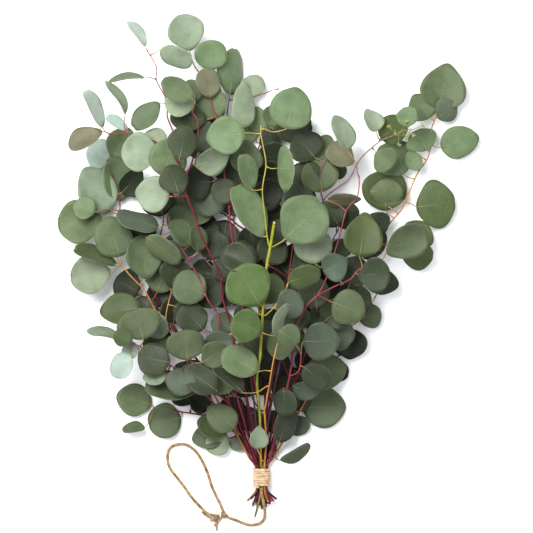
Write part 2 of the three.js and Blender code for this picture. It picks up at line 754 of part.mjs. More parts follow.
// All the wood is known before any leaf is laid.
const shootsInOrder = [];
const woodSamples = [];
branches.forEach((branch, b) => {
  branch.name = `branch_${String(b + 1).padStart(2, '0')}`;
  branch.route = stemRoute(branch);
  woodSamples.push(...samplesAlong(branch.route, bundle.stemRadius, branch.name));
  branch.shoots.forEach((shoot, s) => {
    shoot.name = `${branch.name}_shoot_${s + 1}`;
    shoot.routes = shoot.twigs.map((twig) => twig.map((point) => onLayer(branch.level, point)));
    shoot.level = branch.level;
    shoot.blades = [];
    for (const route of shoot.routes) woodSamples.push(...samplesAlong(route, wood.twig, shoot.name));
    shootsInOrder.push(shoot);
  });
});

const laidBlades = [];
const laidPetioles = [];

// The least clearance of a blade and its petiole from everything that is laid already, and from the
// wood of the other shoots.
function clearance(blade, root, owner) {
  const otherWood = woodSamples.filter((sample) => sample.owner !== owner);
  let least = Infinity;
  for (const laid of laidBlades) least = Math.min(least, clearanceOfBlades(blade, laid));
  for (const sample of [...otherWood, ...laidPetioles]) {
    least = Math.min(least, clearanceOfSample(blade, sample));
  }
  for (const sample of samplesAlong([root, blade.base], wood.petiole, owner)) {
    for (const laid of laidBlades) least = Math.min(least, clearanceOfSample(laid, sample));
    for (const other of [...otherWood, ...laidPetioles.filter((petiole) => petiole.owner !== owner)]) {
      const gap = sample.point.distanceTo(other.point) - sample.radius - other.radius;
      if (gap < leafBlade.stalkGap) least = Math.min(least, gap);
    }
  }
  return least;
}

// The lowest point of a blade's keel and edges.
function lowestPoint(blade) {
  const points = bladeOutline.flatMap(([share, width]) => [
    bladePoint(blade, share, 0, -leafBlade.thickness / 2),
    bladePoint(blade, share, width, leafBlade.cup * width),
    bladePoint(blade, share, -width, leafBlade.cup * width),
  ]);
  return Math.min(...points.map((point) => point.z));
}

// Leaves are laid from the bottom of the pile up, each at the first lift that lies clear of the others.
for (const shoot of shootsInOrder) {
  for (const leaf of shoot.leaves) {
    let best = null;
    const resting = -lowestPoint(placeBlade(leaf, shoot.level, 0));
    const trials = shoot.level === 0 ? [resting, ...lifts] : lifts;
    for (const lift of trials.filter((trial) => trial >= resting)) {
      const blade = placeBlade(leaf, shoot.level, lift);
      const root = nearestOnTwigs(shoot.routes, blade.base);
      const least = clearance(blade, root, shoot.name);
      if (!best || least > best.least) best = { blade, root, least };
      if (least >= leafBlade.clearance) break;
    }
    best.blade.owner = shoot.name;
    shoot.blades.push(best);
    laidBlades.push(best.blade);
    laidPetioles.push(...samplesAlong([best.root, best.blade.base], wood.petiole, shoot.name));
  }
}

for (const branch of branches) {
  const stem = rod(branch.route, bundle.stemRadius, wood.stemEnd, wood.stemSides);
  addPart(`${branch.name}_stem`, stem, barkColor[branch.bark], 'bark');
  for (const shoot of branch.shoots) {
    let body = null;
    for (const route of shoot.routes) {
      const twig = solid(rod(route, wood.twig, wood.twigEnd, wood.twigSides));
      body = body ? body.add(twig) : twig;
    }
    for (const { blade, root } of shoot.blades) body = body.add(leafSolid(blade, root));
    addPart(shoot.name, geometryOf(body), leafColor, 'leaf');
  }
}

// The twine wound round the stems, as one ring.
const { inner, outer, bottom, top, chamfer, sides } = wrap;
const ringProfile = [
  [inner, bottom], [outer - chamfer, bottom], [outer, bottom + chamfer], [outer, top - chamfer],
  [outer - chamfer, top], [inner, top], [inner, bottom],
].map(([radius, height]) => new THREE.Vector2(radius, height));
const ring = new THREE.LatheGeometry(ringProfile, sides);
ring.translate(bundle.x, 0, bundle.z);
addPart('twine_wrap', ring, juteColor, 'jute');

const box = new THREE.Box3().setFromObject(bunch);

// The loose end of the twine: out of the wrap, over the cut ends, down to the surface, and a loop
// that is tied back on itself. Both stretches lie on the surface after the first few points.
function cordTube(route) {
  const points = route.map((point) => new THREE.Vector3(...point));
  const extrudePath = new THREE.CatmullRomCurve3(points, false, 'centripetal');
  const section = new THREE.Shape();
  section.absarc(0, 0, twine.diameter / 2, 0, 2 * Math.PI);
  const outline = section.getPoints(twine.sides / 2).slice(0, twine.sides);
  const steps = Math.round(extrudePath.getLength() / twine.stepsEvery);
  return new THREE.ExtrudeGeometry(new THREE.Shape(outline), { steps, extrudePath, bevelEnabled: false });
}

const tailRoute = [
  [-1.9, -10.9, 16.6], [-1, -18, 16.6], [0.5, -25, 15.6], [1.6, -31, 12], [1.8, -36.5, 6.5],
  [1.1, -41.8, 2.9], [-2, -45.8, 1.9], [-8, -47.8, 1.7], [-15, -47.8, 1.7], [-22, -45.4, 1.7],
  [-28, -42.8, 1.7], [-34.4, -40.7, 1.7],
];
const loopRoute = [
  [-39.9, -34.5, 1.7], [-43, -27, 1.7], [-48, -17, 1.7], [-52, -8, 1.7], [-55, 2, 1.7],
  [-60, 14, 1.7], [-67, 25, 1.7], [-76, 32, 1.7], [-85, 33, 1.7], [-93.5, 29, 1.7], [-96, 21, 1.7],
  [-94, 10, 1.7], [-86, -1, 1.7], [-79, -10, 1.7], [-72, -20, 1.7], [-63, -30, 1.7],
  [-56.5, -35.8, 1.7], [-50, -38.2, 1.7], [-44.3, -38.8, 1.7],
];
addPart('twine_tail', cordTube(tailRoute), juteColor, 'jute');
addPart('twine_loop', cordTube(loopRoute), juteColor, 'jute');

const knot = new THREE.SphereGeometry(1, ...knotSize.segments).scale(...knotSize.radii);
knot.rotateZ(knotSize.turn).translate(...knotSize.middle);
addPart('twine_knot', knot, juteColor, 'jute');

// The two cut ends of the knot, splayed on the surface.
const endRoutes = [
  [[-43, -42.6, 1.7], [-45.6, -45.2, 1.6], [-46.6, -49.2, 1.6], [-46.4, -53.7, 1.6]],
  [[-44, -43.4, 1.6], [-47, -45.6, 1.6], [-48.6, -49.2, 1.6]],
];
const ends = endRoutes.map((route) => {
  const points = route.map((point) => new THREE.Vector3(...point));
  return solid(rod(points, twine.cutEnd, twine.tip / 2, twine.sides));
});
addPart('twine_ends', geometryOf(ends[0].add(ends[1])), juteColor, 'jute');

// The bunch lies with the middle of its box over the origin. The loose twine isn't part of that box.
const middle = box.getCenter(new THREE.Vector3());
bunch.position.set(-middle.x, -middle.y, -box.min.z);
bunch.updateMatrixWorld(true);

export default bunch;
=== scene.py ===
# A tied bunch of cut silver-dollar eucalyptus branches, lying on a pale surface and seen from above.
import json
import math
import random

import bpy
import numpy as np
from mathutils import Matrix, Vector

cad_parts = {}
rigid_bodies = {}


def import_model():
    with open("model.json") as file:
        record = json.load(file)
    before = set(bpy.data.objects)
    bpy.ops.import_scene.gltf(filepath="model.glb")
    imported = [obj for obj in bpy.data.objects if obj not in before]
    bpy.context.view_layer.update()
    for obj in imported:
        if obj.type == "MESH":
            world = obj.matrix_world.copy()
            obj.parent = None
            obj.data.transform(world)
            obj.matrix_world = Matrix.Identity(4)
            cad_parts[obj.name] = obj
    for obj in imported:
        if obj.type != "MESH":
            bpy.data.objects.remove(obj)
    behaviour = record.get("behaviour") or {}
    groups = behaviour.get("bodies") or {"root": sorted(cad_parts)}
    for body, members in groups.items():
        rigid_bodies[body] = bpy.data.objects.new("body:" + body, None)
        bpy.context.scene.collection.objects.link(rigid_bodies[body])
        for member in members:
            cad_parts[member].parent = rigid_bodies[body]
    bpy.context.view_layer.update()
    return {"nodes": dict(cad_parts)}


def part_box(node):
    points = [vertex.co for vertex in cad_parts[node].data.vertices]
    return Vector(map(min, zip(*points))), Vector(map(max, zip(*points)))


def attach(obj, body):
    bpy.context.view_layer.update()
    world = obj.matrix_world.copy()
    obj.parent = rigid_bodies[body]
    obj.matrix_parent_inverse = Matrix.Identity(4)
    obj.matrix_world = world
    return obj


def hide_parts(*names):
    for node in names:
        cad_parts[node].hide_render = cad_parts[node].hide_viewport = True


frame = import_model()

mm = 0.001
up = Vector((0, 0, 1))

# Sizes in millimetres, from the middle of the tie: x to the right, y up the branches and z up from the
# surface. bundle is the stems in the tie, wrap the turns of twine round them, pile the layers of branches
bundle = dict(x=-1.3, z=8.7, spacing=2.5, stemRadius=1.1, endSplay=1.35)
wrap = dict(
    inner=6.45, outer=8.7, bottom=-10.5, top=10.2, turns=7.6, startAngle=1.9, stepsPerTurn=40,
    wobbleSteps=8, wobbleOut=0.25, wobbleAlong=0.22, girth=0.0029, lay=0.0075)
pile = dict(
    floor=3.6, tieStep=1.7, leafStep=10.5, droop=3, thickens=(12, 165), droops=(300, 470), leavesTie=75)

# The middle of the tie on the surface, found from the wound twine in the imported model
wrapLow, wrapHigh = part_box("twine_wrap")
tie = Vector((
    (wrapLow.x + wrapHigh.x) / 2 - bundle["x"] * mm,
    (wrapLow.y + wrapHigh.y) / 2 - (wrap["bottom"] + wrap["top"]) / 2 * mm,
    wrapLow.z,
))


def place(point):
    return tie + Vector(point) * mm


def linearColour(hexColour):
    shades = [int(hexColour[i:i + 2], 16) / 255 for i in (1, 3, 5)]
    return [s / 12.92 if s <= 0.04045 else ((s + 0.055) / 1.055) ** 2.4 for s in shades] + [1.0]


def smoothStep(value, start, end):
    share = min(max((value - start) / (end - start), 0), 1)
    return share * share * (3 - 2 * share)


# Adds a node: inputs are values or sockets to link from, settings are the node's own properties
def addNode(tree, kind, inputs=None, **settings):
    node = tree.nodes.new(kind)
    for name, value in settings.items():
        setattr(node, name, value)
    for key, value in (inputs or {}).items():
        if isinstance(value, bpy.types.NodeSocket):
            tree.links.new(value, node.inputs[key])
        else:
            node.inputs[key].default_value = value
    return node


# A material with its own settings on its shader, its tree and the shader
def newMaterial(name, settings):
    material = bpy.data.materials.new(name)
    material.use_nodes = True
    shader = material.node_tree.nodes["Principled BSDF"]
    for label, value in settings.items():
        shader.inputs[label].default_value = value
    return material, material.node_tree, shader


# A geometry tree with named inputs, and its input node
def newTree(name, sizes):
    tree = bpy.data.node_groups.new(name, "GeometryNodeTree")
    tree.interface.new_socket("Geometry", in_out="INPUT", socket_type="NodeSocketGeometry")
    tree.interface.new_socket("Geometry", in_out="OUTPUT", socket_type="NodeSocketGeometry")
    for label, kind, value in sizes:
        socket = tree.interface.new_socket(label, in_out="INPUT", socket_type="NodeSocket" + kind)
        if value is not None:
            socket.default_value = value
    return tree, addNode(tree, "NodeGroupInput")


# Puts a tree on a piece, sets its named inputs and turns the result into a plain mesh
def runTree(piece, tree, values):
    modifier = piece.modifiers.new(tree.name, "NODES")
    modifier.node_group = tree
    for item in tree.interface.items_tree:
        if item.in_out == "INPUT" and item.name in values:
            modifier[item.identifier] = values[item.name]
    bpy.context.view_layer.update()
    graph = bpy.context.evaluated_depsgraph_get()
    made = bpy.data.meshes.new_from_object(
        piece.evaluated_get(graph), preserve_all_data_layers=True, depsgraph=graph)
    piece.modifiers.clear()
    bare = piece.data
    piece.data = made
    bpy.data.meshes.remove(bare)
    made.name = piece.name
    return piece


# A mesh of bare points or lines with named facts on its points, for a tree to work from
def bareMesh(name, points, edges, facts):
    mesh = bpy.data.meshes.new(name)
    mesh.from_pydata([tuple(p) for p in points], edges, [])
    fields = {"FLOAT": "value", "INT": "value", "FLOAT_VECTOR": "vector", "FLOAT_COLOR": "color"}
    for key, (kind, values) in facts.items():
        fact = mesh.attributes.new(key, kind, "POINT")
        fact.data.foreach_set(fields[kind], np.ravel(np.array(values, float if kind != "INT" else int)))
    piece = bpy.data.objects.new(name, mesh)
    bpy.context.scene.collection.objects.link(piece)
    return piece


# What every finished piece is told: the body, and the imported nodes it stands for, which are hidden
def settle(piece, nodes):
    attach(piece, "root")
    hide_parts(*nodes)


# The camera looks straight down on the middle of the bunch
view = dict(x=3.5, y=211.5, focus=28, height=6000, field=533)
camera = bpy.data.objects.new("camera", bpy.data.cameras.new("camera"))
camera.location = place((view["x"], view["y"], view["height"]))
camera.data.sensor_width = 36
camera.data.lens = 36 * (view["height"] - view["focus"]) / view["field"]
camera.data.clip_end = 20
bpy.context.scene.collection.objects.link(camera)
bpy.context.scene.camera = camera


smoothSteps = 12  # between two given points, before the line is evened out


# Smooth line through given points, even along its length
def smoothLine(points, step):
    p = [Vector(q) for q in points]
    p = [2 * p[0] - p[1]] + p + [2 * p[-1] - p[-2]]
    line = []
    for a, b, c, d in zip(p, p[1:], p[2:], p[3:]):
        t1 = max((b - a).length, 1e-9) ** 0.5
        t2 = t1 + max((c - b).length, 1e-9) ** 0.5
        t3 = t2 + max((d - c).length, 1e-9) ** 0.5
        for s in range(smoothSteps):
            t = t1 + (t2 - t1) * s / smoothSteps
            ab = a + (b - a) * (t / t1)
            bc = b + (c - b) * ((t - t1) / (t2 - t1))
            cd = c + (d - c) * ((t - t2) / (t3 - t2))
            abc = ab + (bc - ab) * (t / t2)
            bcd = bc + (cd - bc) * ((t - t1) / (t3 - t1))
            line.append(abc + (bcd - abc) * ((t - t1) / (t2 - t1)))
    line.append(p[-2])
    reach = np.concatenate([[0], np.cumsum([(b - a).length for a, b in zip(line, line[1:])])])
    count = max(2, round(reach[-1] / step) + 1)
    even = np.linspace(0, reach[-1], count)
    columns = [np.interp(even, reach, [q[k] for q in line]) for k in range(3)]
    return [Vector(q) for q in zip(*columns)]


# Twine is spun strands twisted round each other, paler where it is wound than in the loose end. In metres
twine = dict(
    diameter=0.0032, strands=3, lay=0.0085, sideStep=0.0012, packing=1.08, unevenness=0.5,
    fibreLength=0.0023, fibreThickness=0.000055,
    tieTones=("#8a6c50", "#d6bfa0"), looseTones=("#4f3a26", "#ab9068"))


# Jute: long dull plant fibres spun loosely, so it is matt, hairy and streaked along each strand
def juteMaterial(name, dark, light):
    material, tree, shader = newMaterial(
        name, {"Roughness": 0.88, "Specular IOR Level": 0.25, "Sheen Weight": 0.15})
    strand = addNode(tree, "ShaderNodeAttribute", attribute_name="strandMap").outputs["Vector"]
    # fibres about 0.25 mm wide, long along the strand: drawn coarser than real ones so that they show
    stretched = addNode(tree, "ShaderNodeMapping", {"Vector": strand, "Scale": (18, 150, 7)}).outputs[0]
    fibres = addNode(tree, "ShaderNodeTexNoise",
                     {"Vector": stretched, "Scale": 1, "Detail": 4, "Roughness": 0.6})
    spot = addNode(tree, "ShaderNodeTexCoord").outputs["Object"]
    blotch = addNode(tree, "ShaderNodeTexNoise", {"Vector": spot, "Scale": 260, "Detail": 2})
    mixed = addNode(tree, "ShaderNodeMath",
                    {0: blotch.outputs["Fac"], 1: 0.45}, operation="MULTIPLY").outputs[0]
    share = addNode(tree, "ShaderNodeMath",
                    {0: fibres.outputs["Fac"], 1: 0.55, 2: mixed}, operation="MULTIPLY_ADD")
    ramp = addNode(tree, "ShaderNodeValToRGB", {"Fac": share.outputs[0]})
    ramp.color_ramp.elements[0].position = 0.36
    ramp.color_ramp.elements[0].color = linearColour(dark)
    ramp.color_ramp.elements[1].position = 0.6
    ramp.color_ramp.elements[1].color = linearColour(light)
    tree.links.new(ramp.outputs["Color"], shader.inputs["Base Color"])
    bump = addNode(tree, "ShaderNodeBump",
                   {"Height": fibres.outputs["Fac"], "Strength": 0.6, "Distance": 0.0004})
    tree.links.new(bump.outputs["Normal"], shader.inputs["Normal"])
    return material


# Strands wound round a line: each is a copy of it, moved out by a turning offset and given thickness
def twistTree():
    tree, given = newTree("twisted strands", [
        ("Strands", "Int", 3), ("Strand radius", "Float", 0.0007), ("Spread", "Float", 0.0008),
        ("Lay length", "Float", 0.009), ("Unevenness", "Float", 0.12), ("Jute", "Material", None)])
    size = given.outputs
    line = addNode(tree, "GeometryNodeMeshToCurve", {"Mesh": size["Geometry"]}).outputs[0]
    copies = addNode(tree, "GeometryNodeDuplicateElements", {"Geometry": line, "Amount": size["Strands"]},
                     domain="SPLINE")
    along = addNode(tree, "GeometryNodeSplineParameter").outputs["Length"]
    turns = addNode(tree, "ShaderNodeMath",
                    {0: along, 1: size["Lay length"]}, operation="DIVIDE").outputs[0]
    phase = addNode(tree, "ShaderNodeMath", {0: copies.outputs["Duplicate Index"], 1: size["Strands"]},
                    operation="DIVIDE").outputs[0]
    turn = addNode(tree, "ShaderNodeMath", {0: turns, 1: phase}, operation="ADD").outputs[0]
    angle = addNode(tree, "ShaderNodeMath", {0: turn, 1: 2 * math.pi}, operation="MULTIPLY").outputs[0]
    tangent = addNode(tree, "GeometryNodeInputTangent").outputs[0]
    normal = addNode(tree, "GeometryNodeInputNormal").outputs["Normal"]
    turned = addNode(tree, "ShaderNodeVectorRotate", {"Vector": normal, "Axis": tangent, "Angle": angle},
                     rotation_type="AXIS_ANGLE").outputs[0]
    offset = addNode(tree, "ShaderNodeVectorMath",
                     {0: turned, "Scale": size["Spread"]}, operation="SCALE")
    wound = addNode(tree, "GeometryNodeSetPosition",
                    {"Geometry": copies.outputs[0], "Offset": offset.outputs[0]})
    kept = addNode(tree, "GeometryNodeStoreNamedAttribute",
                   {"Geometry": wound.outputs[0], "Name": "runLength", "Value": along},
                   data_type="FLOAT", domain="POINT")
    where = addNode(tree, "GeometryNodeInputPosition").outputs[0]
    lumps = addNode(tree, "ShaderNodeTexNoise",
                    {"Vector": where, "Scale": 420, "Detail": 2}).outputs["Fac"]
    swing = addNode(tree, "ShaderNodeMath", {0: lumps, 1: 0.5}, operation="SUBTRACT").outputs[0]
    swell = addNode(tree, "ShaderNodeMath",
                    {0: swing, 1: size["Unevenness"], 2: 1}, operation="MULTIPLY_ADD")
    girth = addNode(tree, "ShaderNodeMath",
                    {0: swell.outputs[0], 1: size["Strand radius"]}, operation="MULTIPLY")
    ring = addNode(tree, "GeometryNodeCurvePrimitiveCircle", {"Resolution": 8, "Radius": 1})
    roundShare = addNode(tree, "GeometryNodeSplineParameter").outputs["Factor"]
    ringKept = addNode(tree, "GeometryNodeStoreNamedAttribute",
                       {"Geometry": ring.outputs[0], "Name": "roundShare", "Value": roundShare},
                       data_type="FLOAT", domain="POINT")
    strand = addNode(tree, "GeometryNodeCurveToMesh",
                     {"Curve": kept.outputs[0], "Profile Curve": ringKept.outputs[0],
                      "Scale": girth.outputs[0], "Fill Caps": True})
    run = addNode(tree, "GeometryNodeInputNamedAttribute",
                  {"Name": "runLength"}, data_type="FLOAT").outputs[0]
    across = addNode(tree, "GeometryNodeInputNamedAttribute",
                     {"Name": "roundShare"}, data_type="FLOAT").outputs[0]
    pair = addNode(tree, "ShaderNodeCombineXYZ", {0: across, 1: run, 2: phase}).outputs[0]
    mapped = addNode(tree, "GeometryNodeStoreNamedAttribute",
                     {"Geometry": strand.outputs[0], "Name": "strandMap", "Value": pair},
                     data_type="FLOAT_VECTOR", domain="POINT")
    smooth = addNode(tree, "GeometryNodeSetShadeSmooth", {"Geometry": mapped.outputs[0]})
    real = addNode(tree, "GeometryNodeRealizeInstances", {"Geometry": smooth.outputs[0]})
    jute = addNode(tree, "GeometryNodeSetMaterial",
                   {"Geometry": real.outputs[0], "Material": size["Jute"]})
    addNode(tree, "NodeGroupOutput", {0: jute.outputs[0]})
    return tree


# Short loose fibres standing out of a finished piece of twine
def fibreTree():
    tree, given = newTree("loose fibres", [
        ("Density", "Float", 60000.0), ("Longest", "Float", 0.003), ("Thickness", "Float", 0.00006),
        ("Seed", "Int", 1), ("Jute", "Material", None)])
    size = given.outputs
    spread = addNode(tree, "GeometryNodeDistributePointsOnFaces",
                     {"Mesh": size["Geometry"], "Density": size["Density"], "Seed": size["Seed"]})
    bent = addNode(tree, "GeometryNodeCurveQuadraticBezier",
                   {"Resolution": 3, "Start": (0, 0, -0.05), "Middle": (0.1, 0, 0.5),
                    "End": (0.75, 0.1, 0.62)})
    ring = addNode(tree, "GeometryNodeCurvePrimitiveCircle", {"Resolution": 3, "Radius": 1})
    thin = addNode(tree, "ShaderNodeMath",
                   {0: size["Thickness"], 1: size["Longest"]}, operation="DIVIDE").outputs[0]
    hair = addNode(tree, "GeometryNodeCurveToMesh",
                   {"Curve": bent.outputs[0], "Profile Curve": ring.outputs[0], "Scale": thin,
                    "Fill Caps": True})
    lean = addNode(tree, "FunctionNodeRandomValue",
                   {0: (-0.9, -0.9, -3.1), 1: (0.9, 0.9, 3.1), "Seed": size["Seed"]},
                   data_type="FLOAT_VECTOR").outputs[0]
    leaning = addNode(tree, "FunctionNodeEulerToRotation", {0: lean}).outputs[0]
    turned = addNode(tree, "FunctionNodeRotateRotation", {0: spread.outputs["Rotation"], 1: leaning},
                     rotation_space="LOCAL").outputs[0]
    share = addNode(tree, "FunctionNodeRandomValue", {2: 0.25, 3: 1.0, "Seed": size["Seed"]},
                    data_type="FLOAT").outputs[1]
    reach = addNode(tree, "ShaderNodeMath",
                    {0: share, 1: size["Longest"]}, operation="MULTIPLY").outputs[0]
    hairs = addNode(tree, "GeometryNodeInstanceOnPoints",
                    {"Points": spread.outputs["Points"], "Instance": hair.outputs[0], "Rotation": turned,
                     "Scale": reach})
    real = addNode(tree, "GeometryNodeRealizeInstances", {"Geometry": hairs.outputs[0]})
    jute = addNode(tree, "GeometryNodeSetMaterial",
                   {"Geometry": real.outputs[0], "Material": size["Jute"]})
    both = addNode(tree, "GeometryNodeJoinGeometry")
    tree.links.new(jute.outputs[0], both.inputs[0])
    tree.links.new(size["Geometry"], both.inputs[0])
    addNode(tree, "NodeGroupOutput", {0: both.outputs[0]})
    return tree


tieJute = juteMaterial("spun jute of the tie", *twine["tieTones"])
looseJute = juteMaterial("spun jute of the loose end", *twine["looseTones"])
twist = twistTree()
fibres = fibreTree()


# One piece of twine along one or more lines: strands of it are packed inside the given thickness
def spunTwine(name, lines, thickness, strands, lay, fibresPerArea, seed, jute):
    points, edges = [], []
    for line in lines:
        edges += [(len(points) + i, len(points) + i + 1) for i in range(len(line) - 1)]
        points += line
    packed = thickness / 2 / (1 + 1 / math.sin(math.pi / strands))
    piece = bareMesh(name, points, edges, {})
    runTree(piece, twist, {
        "Strands": strands, "Strand radius": packed * twine["packing"],
        "Spread": packed / math.sin(math.pi / strands), "Lay length": lay,
        "Unevenness": twine["unevenness"], "Jute": jute})
    runTree(piece, fibres, {
        "Density": fibresPerArea, "Longest": twine["fibreLength"], "Thickness": twine["fibreThickness"],
        "Seed": seed, "Jute": jute})
    return piece


# Route of the loose end in metres from the middle of the tie: over the cut ends, down to the surface,
# through the knot, round the loop and back to the knot
tailRoute = [
    (-0.0019, -0.0109, 0.0166), (-0.001, -0.018, 0.0166), (0.0005, -0.025, 0.0156),
    (0.0016, -0.031, 0.012), (0.0018, -0.0365, 0.0065), (0.0011, -0.0418, 0.0029),
    (-0.002, -0.0458, 0.0019), (-0.008, -0.0478, 0.0017), (-0.015, -0.0478, 0.0017),
    (-0.022, -0.0454, 0.0017), (-0.028, -0.0428, 0.0017), (-0.0344, -0.0407, 0.0017),
]
loopRoute = [
    (-0.0399, -0.0345, 0.0017), (-0.043, -0.027, 0.0017), (-0.048, -0.017, 0.0017),
    (-0.052, -0.008, 0.0017), (-0.055, 0.002, 0.0017), (-0.06, 0.014, 0.0017),
    (-0.067, 0.025, 0.0017), (-0.076, 0.032, 0.0017), (-0.085, 0.033, 0.0017),
    (-0.0935, 0.029, 0.0017), (-0.096, 0.021, 0.0017), (-0.094, 0.01, 0.0017),
    (-0.086, -0.001, 0.0017), (-0.079, -0.01, 0.0017), (-0.072, -0.02, 0.0017),
    (-0.063, -0.03, 0.0017), (-0.0565, -0.0358, 0.0017), (-0.05, -0.0382, 0.0017),
    (-0.0443, -0.0388, 0.0017),
]
looseLine = [tie + q for q in smoothLine(tailRoute + loopRoute, twine["sideStep"])]
looseLength = sum((b - a).length for a, b in zip(looseLine, looseLine[1:]))
print("loose twine", round(looseLength, 4), "m")

looseEnd = spunTwine(
    "twine_loose_end", [looseLine], twine["diameter"], twine["strands"], twine["lay"],
    fibresPerArea=22000, seed=3, jute=looseJute)

# A pulled-tight overhand knot: its middle and half sizes in millimetres
knotSize = dict(
    middle=(-39.6, -38.3, 2.7), radii=(2.9, 2.1, 1.5), turn=-0.45, steps=97, thickness=0.0023, lay=0.006)


def knotLine():
    turned = Matrix.Rotation(knotSize["turn"], 3, "Z")
    line = []
    for step in range(knotSize["steps"]):
        t = 2 * math.pi * step / knotSize["steps"]
        across = (math.sin(t) + 2 * math.sin(2 * t)) / 3
        alongIt = (math.cos(t) - 2 * math.cos(2 * t)) / 3
        spot = Vector((across, alongIt, -math.sin(3 * t)))
        scaled = Vector(a * b for a, b in zip(spot, knotSize["radii"]))
        line.append(place(Vector(knotSize["middle"]) + turned @ scaled))
    return line


knot = spunTwine(
    "twine_knot_pulled_tight", [knotLine()], knotSize["thickness"], twine["strands"], knotSize["lay"],
    fibresPerArea=26000, seed=5, jute=looseJute)

# The two cut ends beyond the knot and the strands that fray from them, in millimetres
frayedEnds = dict(thickness=0.0021, strands=5, lay=0.018, step=0.7)
endRoutes = [
    [(-42, -40.8, 2.2), (-44, -43.6, 1.8), (-45.8, -45.8, 1.7), (-46.6, -49.2, 1.7), (-46.4, -53.7, 1.5)],
    [(-42.4, -41.6, 2), (-45.6, -44.6, 1.7), (-47.4, -46.4, 1.6), (-48.6, -49.2, 1.4)],
    [(-44, -41.4, 1.6), (-49, -41.6, 1.2), (-54, -40.4, 1.2), (-58.6, -37.6, 1.2), (-61.4, -34.8, 1.2)],
    [(-45, -42, 1.4), (-49, -43.6, 1.2), (-53.6, -43.4, 1.1)],
]
endLines = [[place(q) for q in smoothLine(route, frayedEnds["step"])] for route in endRoutes]
frayed = spunTwine(
    "twine_frayed_ends", endLines, frayedEnds["thickness"], frayedEnds["strands"], frayedEnds["lay"],
    fibresPerArea=60000, seed=7, jute=looseJute)
settle(knot, ["twine_knot"])
settle(frayed, ["twine_ends"])
settle(looseEnd, ["twine_tail", "twine_loop"])
print("twine done")


# The tie is the same twine wound round the stems, each turn a little uneven
def wrapLine():
    halfThick = (wrap["outer"] - wrap["inner"]) / 2
    bottom, top = wrap["bottom"] + halfThick, wrap["top"] - halfThick
    steps = round(wrap["turns"] * wrap["stepsPerTurn"])
    dice = random.Random(4)
    wobble = [dice.uniform(-1, 1) for _ in range(steps // wrap["wobbleSteps"] + 2)]
    line = []
    for step in range(steps + 1):
        share = step / steps
        angle = 2 * math.pi * wrap["turns"] * share + wrap["startAngle"]
        before, part = divmod(step / wrap["wobbleSteps"], 1)
        first, second = wobble[int(before)], wobble[int(before) + 1]
        uneven = first + (second - first) * part
        reach = wrap["outer"] - halfThick + wrap["wobbleOut"] * uneven
        x = bundle["x"] + reach * math.cos(angle)
        y = bottom + (top - bottom) * share + wrap["wobbleAlong"] * uneven
        line.append(place((x, y, bundle["z"] + reach * math.sin(angle))))
    return line


woundTie = spunTwine(
    "twine_wound_tie", [wrapLine()], wrap["girth"], twine["strands"], wrap["lay"],
    fibresPerArea=26000, seed=9, jute=tieJute)
settle(woundTie, ["twine_wrap"])
print("tie done")


